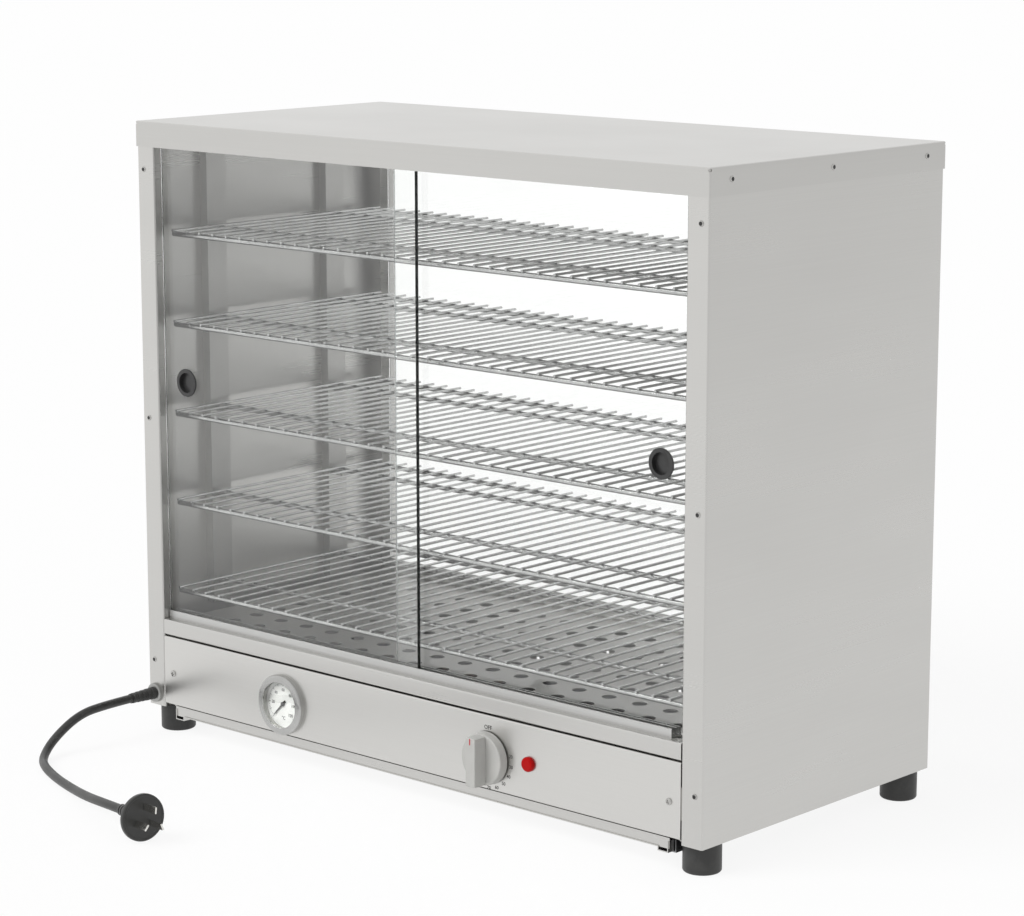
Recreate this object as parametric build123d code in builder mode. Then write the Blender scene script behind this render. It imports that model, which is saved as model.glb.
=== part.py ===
from build123d import *

import math
import os

# Heated pie display case. The origin is on the worktop, at the centre of the
# cabinet's footprint. +Z is up, the sliding doors and controls face -Y.

# Overall sizes
WIDTH = 725.0
DEPTH = 344.0
HEIGHT = 620.0
FOOT_HEIGHT = 27.0
FOOT_DIAMETER = 35.0

# Sheet metal
SHEET = 1.2
BEND = 1.8
LID_SKIRT = 25.0
RELIEF_DIAMETER = 2.8
RELIEF_DROP = 2.4
POST_FACE = 24.0
POST_RETURN = 8.5
BASE_FLANGE = 32.0

# Front levels, measured up from the lower edge of the side panels
CONTROL_LOW = 4.0
CONTROL_HEIGHT = 70.5
SILL_GAP = 1.5
SILL_HEIGHT = 16.0
CONTROL_LEVEL = 34.5
SIDE_GAP = 0.5
FLANGE_DEPTH = 8.0

# Glass and its tracks
GLASS = 4.0
GROOVE = 5.0
RIB = 1.5
TRACK_BASE = 2.0
TRACK_HEIGHT = 8.0
UPPER_TRACK_HEIGHT = 15.0
GLASS_LIFT = 0.3
GLASS_HEADROOM = 5.0
DOOR_OVERLAP = 33.0
LAP_CENTRE = -5.5
DOOR_END = WIDTH / 2 - 24.5
TRACK_LEFT = -(WIDTH / 2 - 26.0)
TRACK_RIGHT = WIDTH / 2 - 42.5
LEFT_PULL_X = -(WIDTH / 2 - 57.0)
RIGHT_PULL_X = WIDTH / 2 - 63.5
PULL_LEVEL = 336.0
RIGHT_PULL_DROP = 4.0
PULL_DIAMETER = 28.0
PULL_RIM = 1.2
PULL_RECESS = 20.0
PULL_HOLE = 24.0
PULL_FLOOR = 0.8

# Perforated cabinet floor
DECK_SLACK = 0.8
LEDGE_DROP = 5.0
HOLE_DIAMETER = 14.0
HOLE_PITCH_X = 36.4
HOLE_PITCH_Y = 31.5
HOLE_MARGIN = 60.0
HOLE_COLUMNS = math.floor((WIDTH - 2 * HOLE_MARGIN) / HOLE_PITCH_X) + 1
HOLE_ROWS = math.floor((DEPTH - 2 * HOLE_MARGIN) / HOLE_PITCH_Y) + 1
HOLE_ROW_CENTRE = -4.75

# Wire racks
RACKS = 5
RACK_LEVEL = 116.0
RACK_PITCH = 91.0
RAIL_DIAMETER = 5.0
WIRE_DIAMETER = 2.6
WIRE_PITCH = 19.5
WIRE_MARGIN = 20.0
WIRES = math.floor((WIDTH - 2 * WIRE_MARGIN) / WIRE_PITCH) + 1
WELD_SINK = 0.35
RAIL_Y = DEPTH / 2 - 32.0
WIRE_FRONT = -(DEPTH / 2 - 29.0)
WIRE_REAR = DEPTH / 2 - 22.0
UPRIGHT_YS = (-(DEPTH / 2 - 97.0), DEPTH / 2 - 80.0)
UPRIGHT_WIDTH = 26.0
UPRIGHT_DEPTH = 10.0
UPRIGHT_TOP_GAP = 14.0
CLIP_WIDTH = 12.0
CLIP_THICKNESS = 2.4
CLIP_REACH = 13.0
CLIP_HOOK = 8.0
REST_GAP = 0.3

# Crumb tray and runners
TRAY_HALF = WIDTH / 2 - 39.9
TRAY_DEPTH = DEPTH - 24.0
TRAY_SHEET = 1.0
TRAY_FLOOR = 20.0
TRAY_GUTTER = 16.5
TRAY_GUTTER_WIDTH = 12.0
TRAY_TOP = 27.0
TRAY_LIP_HALF = TRAY_HALF + 0.8
TRAY_LIP_TOP = 30.0
RUNNER_GAP = 1.0
RUNNER_FLANGE = 11.0

# Heating element
ELEMENT_DIAMETER = 8.0
ELEMENT_LEVEL = 62.0
ELEMENT_PITCH = 60.0
ELEMENT_RIGHT = WIDTH / 2 - 102.5
ELEMENT_LEFT = -(WIDTH / 2 - 112.5)
ELEMENT_END = -(WIDTH / 2 - 62.5)
BRACKET_XS = (ELEMENT_LEFT + 8.0, 0.0, ELEMENT_RIGHT - 10.0)
PAN_OPENING_X = (30.0, WIDTH / 2 - 127.5)
PAN_OPENING_HALF_Y = DEPTH / 2 - 62.0
PAN_HALF_Y = DEPTH / 2 - 10.2
PAN_RIM = 8.0

# Controls
THERMOMETER_X = -164.0
THERMOMETER_BEZEL = 60.0
THERMOMETER_CASE = 49.2
THERMOMETER_DEPTH = 20.0
KNOB_X = 109.0
KNOB_DIAMETER = 50.0
KNOB_SKIRT = 8.7
KNOB_GRIP = 14.5
KNOB_GRIP_WIDTH = 12.0
KNOB_GAP = 1.5
SHAFT_DIAMETER = 6.0
SHAFT_CLEARANCE = 0.05
LAMP_X = 159.3
LAMP_LEVEL = 38.0
LAMP_DIAMETER = 14.0
SCREW_X = WIDTH / 2 - 38.5
SCREW_LEVEL = 37.0

# Mains lead
CORD_DIAMETER = 8.6
GLAND_X = -(WIDTH / 2 - 11.0)
GLAND_Z = 39.5
GLAND_HEAD = 19.5
HEAD_LENGTH = 4.0
SLEEVE_LENGTH = 30.0
PLUG_DIAMETER = 44.0
PLUG_LENGTH = 40.0
PLUG_ROLL = 172.0

# Fasteners
RIVET_DIAMETER = 3.2
RIVET_HEAD = 5.6
RIVET_RISE = 0.8
RIVET_X = WIDTH / 2 - 10.0
RIVET_LEVELS = (47.0, 296.5, 545.5)
LID_RIVET_YS = (-(DEPTH / 2 - 29.5), 0.0, DEPTH / 2 - 29.5)
LID_RIVET_LEVEL = 581.5
FOOT_X = WIDTH / 2 - 19.0
FOOT_Y = DEPTH / 2 - 24.0
FOOT_SCREW = 5.0

# Derived places
PANEL_X = WIDTH / 2 - SHEET
PANEL_Y = DEPTH / 2 - SHEET
BOTTOM = FOOT_HEIGHT
LID_UNDER = HEIGHT - SHEET
POST_X = PANEL_X - POST_FACE
FRONT_HALF = POST_X - SIDE_GAP
CONTROL_Z = BOTTOM + CONTROL_LEVEL
CONTROL_FOOT = BOTTOM + CONTROL_LOW
CONTROL_TOP = CONTROL_FOOT + CONTROL_HEIGHT
SILL_BOTTOM = CONTROL_TOP + SILL_GAP
SILL_TOP = SILL_BOTTOM + SILL_HEIGHT
DECK_UNDER = SILL_TOP - LEDGE_DROP
TRACK_FRONT = -(PANEL_Y - POST_RETURN) - SHEET
TRACK_DEPTH = 3 * RIB + 2 * GROOVE
TRACK_BACK = TRACK_FRONT + TRACK_DEPTH
FRONT_GLASS_Y = TRACK_FRONT + RIB + GROOVE / 2
REAR_GLASS_Y = FRONT_GLASS_Y + GROOVE + RIB
TRACK_FLOOR = SILL_TOP + TRACK_BASE
TRACK_CEILING = LID_UNDER - TRACK_BASE
GLASS_BOTTOM = TRACK_FLOOR + GLASS_LIFT
GLASS_TOP = TRACK_CEILING - GLASS_HEADROOM
SILL_BACK = TRACK_BACK + 4.0
PAN_UNDER = BOTTOM + SHEET
PAN_TOP = PAN_UNDER + SHEET
WALL_X = PANEL_X - SHEET

os.makedirs("parts", exist_ok=True)


def write(part, name):
    part.label = name
    export_step(part, f"parts/{name}.step")


def rack_rail_z(index):
    return BOTTOM + RACK_LEVEL + RACK_PITCH * index


def tube(points, diameter, radius):
    """A round tube along straight runs joined by tangent arcs."""
    with BuildPart() as run:
        with BuildLine() as path:
            if len(points) == 2:
                Line(*points)
            else:
                FilletPolyline(*points, radius=radius)
        start = path.line @ 0
        with BuildSketch(Plane(start, z_dir=path.line % 0)):
            Circle(diameter / 2)
        sweep(path=path.line)
    return run.part


# Lid: a folded tray, upside down, whose skirt goes round the panels, with a
# relief hole at each corner
with BuildPart() as top_cover:
    with BuildSketch(Plane.XY.offset(HEIGHT - LID_SKIRT)):
        RectangleRounded(WIDTH, DEPTH, BEND)
    extrude(amount=LID_SKIRT)
    fillet(top_cover.faces().sort_by(Axis.Z)[-1].edges(), BEND * 0.9)
    with BuildSketch(Plane.XY.offset(HEIGHT - LID_SKIRT)):
        RectangleRounded(WIDTH - 2 * SHEET, DEPTH - 2 * SHEET, BEND - SHEET)
    extrude(amount=LID_SKIRT - SHEET, mode=Mode.SUBTRACT)
    for side in (Plane.YZ.offset(WIDTH / 2), Plane.YZ.offset(-WIDTH / 2)):
        with BuildSketch(side):
            with Locations(*[(y, BOTTOM + LID_RIVET_LEVEL) for y in LID_RIVET_YS]):
                Circle(RIVET_DIAMETER / 2)
        extrude(amount=2 * SHEET, both=True, mode=Mode.SUBTRACT)
    for side_x in (-1, 1):
        for side_y in (-1, 1):
            corner = Vector(side_x * WIDTH / 2, side_y * DEPTH / 2, HEIGHT - RELIEF_DROP)
            with BuildSketch(Plane(corner, z_dir=(side_x, side_y, 0))):
                Circle(RELIEF_DIAMETER / 2)
            extrude(amount=3 * SHEET, both=True, mode=Mode.SUBTRACT)
write(top_cover.part, "top_cover")


# Side panel: outer sheet, front and rear posts, base flange and screw tabs
with BuildPart() as right_side_panel:
    with BuildSketch(Plane.XY.offset(BOTTOM)):
        with BuildLine():
            FilletPolyline(
                (POST_X, -PANEL_Y + POST_RETURN),
                (POST_X, -PANEL_Y),
                (PANEL_X, -PANEL_Y),
                (PANEL_X, PANEL_Y),
                (POST_X, PANEL_Y),
                (POST_X, PANEL_Y - POST_RETURN),
                radius=BEND,
            )
            offset(amount=SHEET, side=Side.LEFT)
        make_face()
    extrude(amount=LID_UNDER - BOTTOM)
    with BuildSketch(Plane.XY.offset(BOTTOM)):
        with Locations((PANEL_X - BASE_FLANGE / 2 - SHEET / 2, 0)):
            Rectangle(BASE_FLANGE - SHEET, 2 * PAN_HALF_Y)
        with Locations((FOOT_X, -FOOT_Y), (FOOT_X, FOOT_Y)):
            Circle(FOOT_SCREW / 2 + 0.2, mode=Mode.SUBTRACT)
    extrude(amount=SHEET)
    for face_y, inward in ((-PANEL_Y, 1), (PANEL_Y, -1)):
        with BuildSketch(Plane.XZ.offset(-(face_y + inward * SHEET))):
            with Locations(((SCREW_X + POST_X) / 2 - 5, BOTTOM + SCREW_LEVEL)):
                Rectangle(POST_X - SCREW_X + 22, 30)
            with Locations((SCREW_X, BOTTOM + SCREW_LEVEL)):
                Circle(1.9, mode=Mode.SUBTRACT)
        extrude(amount=-inward * SHEET)
        with BuildSketch(Plane.XZ.offset(-face_y)):
            with Locations(*[(RIVET_X, BOTTOM + level) for level in RIVET_LEVELS]):
                Circle(RIVET_DIAMETER / 2)
        extrude(amount=2 * SHEET, both=True, mode=Mode.SUBTRACT)
    with BuildSketch(Plane.YZ.offset(PANEL_X)):
        with Locations(*[(y, BOTTOM + LID_RIVET_LEVEL) for y in LID_RIVET_YS]):
            Circle(RIVET_DIAMETER / 2)
    extrude(amount=2 * SHEET, both=True, mode=Mode.SUBTRACT)
write(right_side_panel.part, "right_side_panel")

with BuildPart() as left_side_panel:
    add(mirror(right_side_panel.part, about=Plane.YZ, mode=Mode.PRIVATE))
    with BuildSketch(Plane.XZ.offset(PANEL_Y)):
        with Locations((GLAND_X, GLAND_Z)):
            Circle(6.2)
    extrude(amount=2 * SHEET, both=True, mode=Mode.SUBTRACT)
write(left_side_panel.part, "left_side_panel")


def folded_panel(face_y, inward):
    """A flat panel between the posts with its upper and lower edges folded in."""
    back_y = face_y + inward * FLANGE_DEPTH
    with BuildPart() as panel:
        with BuildSketch(Plane.YZ):
            with BuildLine():
                FilletPolyline(
                    (back_y, CONTROL_FOOT),
                    (face_y, CONTROL_FOOT),
                    (face_y, CONTROL_TOP),
                    (back_y, CONTROL_TOP),
                    radius=BEND,
                )
                offset(amount=SHEET, side=Side.RIGHT if inward > 0 else Side.LEFT)
            make_face()
        extrude(amount=FRONT_HALF, both=True)
        with BuildSketch(Plane.XZ.offset(-face_y)):
            with Locations((-SCREW_X, BOTTOM + SCREW_LEVEL), (SCREW_X, BOTTOM + SCREW_LEVEL)):
                Circle(2.2)
        extrude(amount=2 * SHEET, both=True, mode=Mode.SUBTRACT)
    return panel.part


# Control panel with its instrument holes
with BuildPart() as control_panel:
    add(folded_panel(-PANEL_Y, 1))
    with BuildSketch(Plane.XZ.offset(PANEL_Y)):
        with Locations((THERMOMETER_X, CONTROL_Z)):
            Circle(THERMOMETER_CASE / 2 + 0.1)
        with Locations((KNOB_X, CONTROL_Z)):
            Circle(4.5)
        with Locations((LAMP_X, BOTTOM + LAMP_LEVEL)):
            Circle(6.0)
    extrude(amount=2 * SHEET, both=True, mode=Mode.SUBTRACT)
write(control_panel.part, "control_panel")

# Rear base panel with two rows of vent slots
with BuildPart() as rear_base_panel:
    add(folded_panel(PANEL_Y, -1))
    with BuildSketch(Plane.XZ.offset(-PANEL_Y)):
        with Locations((0, CONTROL_Z)):
            with GridLocations(24.0, 22.0, 12, 2):
                SlotOverall(16.0, 4.0, rotation=90)
    extrude(amount=2 * SHEET, both=True, mode=Mode.SUBTRACT)
write(rear_base_panel.part, "rear_base_panel")


def sill(face_y, inward):
    """Z-shaped sill: a face, a top that carries the track and a ledge for the floor."""
    top_back = face_y + inward * (PANEL_Y + SILL_BACK)
    with BuildPart() as bar:
        with BuildSketch(Plane.YZ):
            with BuildLine():
                FilletPolyline(
                    (face_y + inward * FLANGE_DEPTH, SILL_BOTTOM),
                    (face_y, SILL_BOTTOM),
                    (face_y, SILL_TOP),
                    (top_back, SILL_TOP),
                    (top_back, DECK_UNDER - SHEET),
                    radius=BEND,
                )
                offset(amount=SHEET, side=Side.RIGHT if inward > 0 else Side.LEFT)
            make_face()
        extrude(amount=FRONT_HALF, both=True)
        with BuildSketch(Plane.YZ):
            with Locations((top_back + inward * 5.4, DECK_UNDER - SHEET / 2)):
                Rectangle(13.2, SHEET)
        extrude(amount=FRONT_HALF, both=True)
    return bar.part


front_sill = sill(-PANEL_Y, 1)
write(front_sill, "front_sill")
rear_sill = sill(PANEL_Y, -1)
write(rear_sill, "rear_sill")


def track(front_y, grooves, base_z, rise, left_x, right_x):
    """A grooved track along X. rise is its height, negative for one that hangs."""
    up = 1 if rise > 0 else -1
    depth = (grooves + 1) * RIB + grooves * GROOVE
    with BuildPart() as rail:
        with BuildSketch(Plane.YZ.offset(left_x)):
            with Locations((front_y + depth / 2, base_z + rise / 2)):
                Rectangle(depth, abs(rise))
            for number in range(grooves):
                groove_y = front_y + RIB + GROOVE / 2 + number * (GROOVE + RIB)
                with Locations((groove_y, base_z + up * TRACK_BASE + rise / 2)):
                    Rectangle(GROOVE, abs(rise), mode=Mode.SUBTRACT)
        extrude(amount=right_x - left_x)
    return rail.part


UPPER_HALF = POST_X - 0.8
HANGING = -UPPER_TRACK_HEIGHT
write(
    track(TRACK_FRONT, 2, SILL_TOP, TRACK_HEIGHT, TRACK_LEFT, TRACK_RIGHT),
    "lower_front_track",
)
write(
    track(TRACK_FRONT, 2, LID_UNDER, HANGING, -UPPER_HALF, UPPER_HALF),
    "upper_front_track",
)
REAR_CHANNEL = PANEL_Y - POST_RETURN - 6.0 - RIB
write(
    track(REAR_CHANNEL, 1, SILL_TOP, TRACK_HEIGHT, -UPPER_HALF, UPPER_HALF),
    "rear_lower_channel",
)
write(
    track(REAR_CHANNEL, 1, LID_UNDER, HANGING, -UPPER_HALF, UPPER_HALF),
    "rear_upper_channel",
)


def pane(low_x, high_x, centre_y, bottom_z, hole=None):
    with BuildPart() as glass:
        with BuildSketch(Plane.XZ.offset(-centre_y)):
            with Locations(((low_x + high_x) / 2, (bottom_z + GLASS_TOP) / 2)):
                Rectangle(high_x - low_x, GLASS_TOP - bottom_z)
            if hole is not None:
                with Locations(hole):
                    Circle(PULL_HOLE / 2, mode=Mode.SUBTRACT)
        extrude(amount=GLASS / 2, both=True)
        chamfer(glass.edges().filter_by(Axis.Z), 0.5)
    return glass.part


def pull(place, centre_y):
    """A blind cup in the door's hole, with a rim on the front of the glass."""
    face_y = centre_y - GLASS / 2
    with BuildPart() as cup:
        with BuildSketch(Plane.XZ.offset(-face_y)):
            with Locations(place):
                Circle(PULL_DIAMETER / 2)
        extrude(amount=PULL_RIM)
        fillet(cup.faces().sort_by(Axis.Y)[0].edges(), PULL_RIM * 0.6)
        with BuildSketch(Plane.XZ.offset(-face_y)):
            with Locations(place):
                Circle(PULL_HOLE / 2)
        extrude(amount=-GLASS)
        with BuildSketch(Plane.XZ.offset(-(face_y - PULL_RIM))):
            with Locations(place):
                Circle(PULL_RECESS / 2)
        extrude(amount=-(PULL_RIM + GLASS - PULL_FLOOR), mode=Mode.SUBTRACT)
    return cup.part


LEFT_PULL = (LEFT_PULL_X, BOTTOM + PULL_LEVEL)
RIGHT_PULL = (RIGHT_PULL_X, BOTTOM + PULL_LEVEL - RIGHT_PULL_DROP)
LAP_LEFT = LAP_CENTRE - DOOR_OVERLAP / 2
LAP_RIGHT = LAP_CENTRE + DOOR_OVERLAP / 2
write(pane(-DOOR_END, LAP_RIGHT, FRONT_GLASS_Y, GLASS_BOTTOM, LEFT_PULL), "left_door_glass")
write(pane(LAP_LEFT, DOOR_END, REAR_GLASS_Y, GLASS_BOTTOM, RIGHT_PULL), "right_door_glass")
write(pull(LEFT_PULL, FRONT_GLASS_Y), "left_door_pull")
write(pull(RIGHT_PULL, REAR_GLASS_Y), "right_door_pull")
BACK_PANE_Y = REAR_CHANNEL + RIB + GROOVE / 2
write(pane(-UPPER_HALF + 0.3, UPPER_HALF - 0.3, BACK_PANE_Y, TRACK_FLOOR), "rear_glass")

# Perforated floor that rests on the sills' ledges
DECK_HALF_Y = -SILL_BACK - DECK_SLACK
with BuildPart() as cabinet_floor:
    with BuildSketch(Plane.XY.offset(DECK_UNDER)):
        Rectangle(2 * FRONT_HALF, 2 * DECK_HALF_Y)
        with Locations((0, HOLE_ROW_CENTRE)):
            with GridLocations(HOLE_PITCH_X, HOLE_PITCH_Y, HOLE_COLUMNS, HOLE_ROWS):
                Circle(HOLE_DIAMETER / 2, mode=Mode.SUBTRACT)
    extrude(amount=SHEET)
write(cabinet_floor.part, "cabinet_floor")

# Base pan on the side panels' flanges, open over the crumb tray
PAN_OPENING_WIDTH = PAN_OPENING_X[1] - PAN_OPENING_X[0]
PAN_OPENING_CENTRE = sum(PAN_OPENING_X) / 2
PAN_RIM_HALF = WIDTH / 2 - 62.5
with BuildPart() as base_pan:
    with BuildSketch(Plane.XY.offset(PAN_UNDER)):
        Rectangle(2 * WALL_X - 0.4, 2 * PAN_HALF_Y)
        with Locations((-PAN_OPENING_CENTRE, 0), (PAN_OPENING_CENTRE, 0)):
            Rectangle(PAN_OPENING_WIDTH, 2 * PAN_OPENING_HALF_Y, mode=Mode.SUBTRACT)
        with GridLocations(2 * FOOT_X, 2 * FOOT_Y, 2, 2):
            Circle(FOOT_SCREW / 2 + 0.2, mode=Mode.SUBTRACT)
    extrude(amount=SHEET)
    with BuildSketch(Plane.XY.offset(PAN_UNDER)):
        with GridLocations(0, 2 * PAN_HALF_Y - SHEET, 1, 2):
            Rectangle(2 * PAN_RIM_HALF, SHEET)
    extrude(amount=PAN_RIM)
write(base_pan.part, "base_pan")

# Crumb tray: raised centre, lower gutters that ride on the runners, front lip
TRAY_FRONT = -PANEL_Y + TRAY_SHEET
with BuildPart() as crumb_tray:
    with BuildSketch(Plane.XZ.offset(-TRAY_FRONT)):
        with BuildLine():
            gutter_in = TRAY_HALF - TRAY_GUTTER_WIDTH
            Polyline(
                (-TRAY_HALF, TRAY_TOP),
                (-TRAY_HALF, TRAY_GUTTER),
                (-gutter_in, TRAY_GUTTER),
                (-gutter_in, TRAY_FLOOR),
                (gutter_in, TRAY_FLOOR),
                (gutter_in, TRAY_GUTTER),
                (TRAY_HALF, TRAY_GUTTER),
                (TRAY_HALF, TRAY_TOP),
            )
            offset(amount=TRAY_SHEET, side=Side.LEFT)
        make_face()
    extrude(amount=-TRAY_DEPTH)
    with BuildSketch(Plane.XZ.offset(-TRAY_FRONT - TRAY_SHEET)):
        with Locations((0, (TRAY_LIP_TOP + TRAY_FLOOR) / 2)):
            Rectangle(2 * TRAY_LIP_HALF, TRAY_LIP_TOP - TRAY_FLOOR)
    extrude(amount=-TRAY_SHEET)
    with BuildSketch(Plane.XZ.offset(-TRAY_FRONT - TRAY_DEPTH + TRAY_SHEET)):
        with Locations((0, (TRAY_TOP + TRAY_FLOOR) / 2)):
            Rectangle(2 * gutter_in + 2 * TRAY_GUTTER_WIDTH, TRAY_TOP - TRAY_FLOOR)
    extrude(amount=-TRAY_SHEET)
write(crumb_tray.part, "crumb_tray")


# Runner: hangs from the base flange, its lower lip carries the tray
RUNNER_X = TRAY_HALF + RUNNER_GAP
RUNNER_LIP_Z = TRAY_GUTTER - REST_GAP
RUNNER_HALF = PAN_HALF_Y - 0.6
RUNNER_TOP_HALF = FOOT_Y - FOOT_DIAMETER / 2 - 6.0
with BuildPart() as right_tray_runner:
    with BuildSketch(Plane.XZ.offset(RUNNER_HALF)):
        with Locations((RUNNER_X + SHEET / 2, (BOTTOM + RUNNER_LIP_Z - SHEET) / 2)):
            Rectangle(SHEET, BOTTOM - RUNNER_LIP_Z + SHEET)
        with Locations((RUNNER_X + SHEET - RUNNER_FLANGE / 2, RUNNER_LIP_Z - SHEET / 2)):
            Rectangle(RUNNER_FLANGE, SHEET)
    extrude(amount=-2 * RUNNER_HALF)
    with BuildSketch(Plane.XY.offset(BOTTOM - SHEET)):
        with Locations((RUNNER_X + RUNNER_FLANGE / 2, 0)):
            Rectangle(RUNNER_FLANGE, 2 * RUNNER_TOP_HALF)
    extrude(amount=SHEET)
write(right_tray_runner.part, "right_tray_runner")
with BuildPart() as left_tray_runner:
    add(mirror(right_tray_runner.part, about=Plane.YZ, mode=Mode.PRIVATE))
write(left_tray_runner.part, "left_tray_runner")

# Slotted uprights on the side walls
UPRIGHT_FOOT = SILL_TOP
UPRIGHT_TOP = LID_UNDER - UPRIGHT_TOP_GAP
UPRIGHT_X = WALL_X - UPRIGHT_DEPTH
CLIP_TOP_DROP = RAIL_DIAMETER / 2 + REST_GAP
SLOT_CLEARANCE = 0.3


def clip_top(index):
    return rack_rail_z(index) - CLIP_TOP_DROP


def upright(side, centre_y):
    with BuildPart() as bar:
        with BuildSketch(Plane.XY.offset(UPRIGHT_FOOT)):
            with Locations((side * (UPRIGHT_X + UPRIGHT_DEPTH / 2), centre_y)):
                Rectangle(UPRIGHT_DEPTH, UPRIGHT_WIDTH)
            with Locations((side * (UPRIGHT_X + SHEET + UPRIGHT_DEPTH / 2), centre_y)):
                Rectangle(UPRIGHT_DEPTH, UPRIGHT_WIDTH - 2 * SHEET, mode=Mode.SUBTRACT)
        extrude(amount=UPRIGHT_TOP - UPRIGHT_FOOT)
        with BuildSketch(Plane.YZ.offset(side * UPRIGHT_X)):
            for index in range(RACKS):
                with Locations((centre_y, clip_top(index) - CLIP_THICKNESS / 2)):
                    Rectangle(CLIP_WIDTH + 2 * SLOT_CLEARANCE, CLIP_THICKNESS + 2 * SLOT_CLEARANCE)
        extrude(amount=2 * SHEET, both=True, mode=Mode.SUBTRACT)
    return bar.part


for side, side_name in ((-1, "left"), (1, "right")):
    for centre_y, place in zip(UPRIGHT_YS, ("front", "rear")):
        write(upright(side, centre_y), f"{side_name}_{place}_upright")

# Clips hooked into the uprights, four under each rack
with BuildPart() as rack_clips:
    for index in range(RACKS):
        for side in (-1, 1):
            for centre_y in UPRIGHT_YS:
                tongue = CLIP_REACH + 4.0
                tongue_x = side * (UPRIGHT_X - CLIP_REACH + tongue / 2)
                hook_x = side * (UPRIGHT_X - CLIP_REACH + tongue - CLIP_THICKNESS / 2)
                with BuildSketch(Plane.XZ.offset(-centre_y)):
                    with Locations((tongue_x, clip_top(index) - CLIP_THICKNESS / 2)):
                        Rectangle(tongue, CLIP_THICKNESS)
                    with Locations((hook_x, clip_top(index) - CLIP_HOOK / 2)):
                        Rectangle(CLIP_THICKNESS, CLIP_HOOK)
                extrude(amount=CLIP_WIDTH / 2, both=True)
write(rack_clips.part, "rack_clips")

# Wire rack: rails along X, cross wires welded on top of them
RACK_HALF = WIRE_PITCH * (WIRES - 1) / 2
WIRE_RISE = (RAIL_DIAMETER + WIRE_DIAMETER) / 2 - WELD_SINK
with BuildPart() as rack:
    for rail_y, half in (
        (-RAIL_Y, RACK_HALF + WIRE_DIAMETER / 2),
        (UPRIGHT_YS[0], UPRIGHT_X - 4.0),
        (UPRIGHT_YS[1], UPRIGHT_X - 4.0),
        (RAIL_Y, RACK_HALF + WIRE_DIAMETER / 2),
    ):
        with BuildSketch(Plane.YZ):
            with Locations((rail_y, 0)):
                Circle(RAIL_DIAMETER / 2)
        extrude(amount=half, both=True)
    with BuildSketch(Plane.XZ.offset(-WIRE_FRONT)):
        with Locations((0, WIRE_RISE)):
            with GridLocations(WIRE_PITCH, 0, WIRES, 1):
                Circle(WIRE_DIAMETER / 2)
    extrude(amount=-(WIRE_REAR - WIRE_FRONT))

for index in range(RACKS):
    write(rack.part.moved(Location((0, 0, rack_rail_z(index)))), f"rack_{index + 1}")

# Heating element: four runs joined by half-round bends, with terminal studs
OUTER_RUN = 1.5 * ELEMENT_PITCH
INNER_RUN = 0.5 * ELEMENT_PITCH
STUD = 12.0
ELEMENT_ROUTE = [
    (ELEMENT_END, -OUTER_RUN, ELEMENT_LEVEL),
    (ELEMENT_RIGHT + INNER_RUN, -OUTER_RUN, ELEMENT_LEVEL),
    (ELEMENT_RIGHT + INNER_RUN, -INNER_RUN, ELEMENT_LEVEL),
    (ELEMENT_LEFT - INNER_RUN, -INNER_RUN, ELEMENT_LEVEL),
    (ELEMENT_LEFT - INNER_RUN, INNER_RUN, ELEMENT_LEVEL),
    (ELEMENT_RIGHT + INNER_RUN, INNER_RUN, ELEMENT_LEVEL),
    (ELEMENT_RIGHT + INNER_RUN, OUTER_RUN, ELEMENT_LEVEL),
    (ELEMENT_END, OUTER_RUN, ELEMENT_LEVEL),
]
with BuildPart() as heating_element:
    add(tube(ELEMENT_ROUTE, ELEMENT_DIAMETER, INNER_RUN - 1.0))
    for run_y in (-OUTER_RUN, OUTER_RUN):
        with BuildSketch(Plane((ELEMENT_END, run_y, ELEMENT_LEVEL), z_dir=(-1, 0, 0))):
            Circle(1.6)
        extrude(amount=STUD)
        with BuildSketch(Plane((ELEMENT_END, run_y, ELEMENT_LEVEL), z_dir=(-1, 0, 0))):
            RegularPolygon(5.5, 6)
        extrude(amount=3.0, both=True)
write(heating_element.part, "heating_element")

# Upright brackets on the base pan, each with four holes for the element
BRACKET_TOP = ELEMENT_LEVEL + ELEMENT_DIAMETER / 2 + 5.0
BRACKET_HALF = OUTER_RUN + 12.0
BRACKET_FOOT = 12.0
with BuildPart() as element_brackets:
    for bracket_x in BRACKET_XS:
        with BuildSketch(Plane.YZ.offset(bracket_x)):
            with Locations((0, (PAN_TOP + BRACKET_TOP) / 2)):
                Rectangle(2 * BRACKET_HALF, BRACKET_TOP - PAN_TOP)
            with Locations((0, ELEMENT_LEVEL)):
                with GridLocations(ELEMENT_PITCH, 0, 4, 1):
                    Circle(ELEMENT_DIAMETER / 2 + 0.15, mode=Mode.SUBTRACT)
        extrude(amount=SHEET / 2, both=True)
        with BuildSketch(Plane.XY.offset(PAN_TOP)):
            with Locations((bracket_x, 0)):
                Rectangle(BRACKET_FOOT, 2 * BRACKET_HALF)
        extrude(amount=SHEET)
write(element_brackets.part, "element_brackets")

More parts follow.
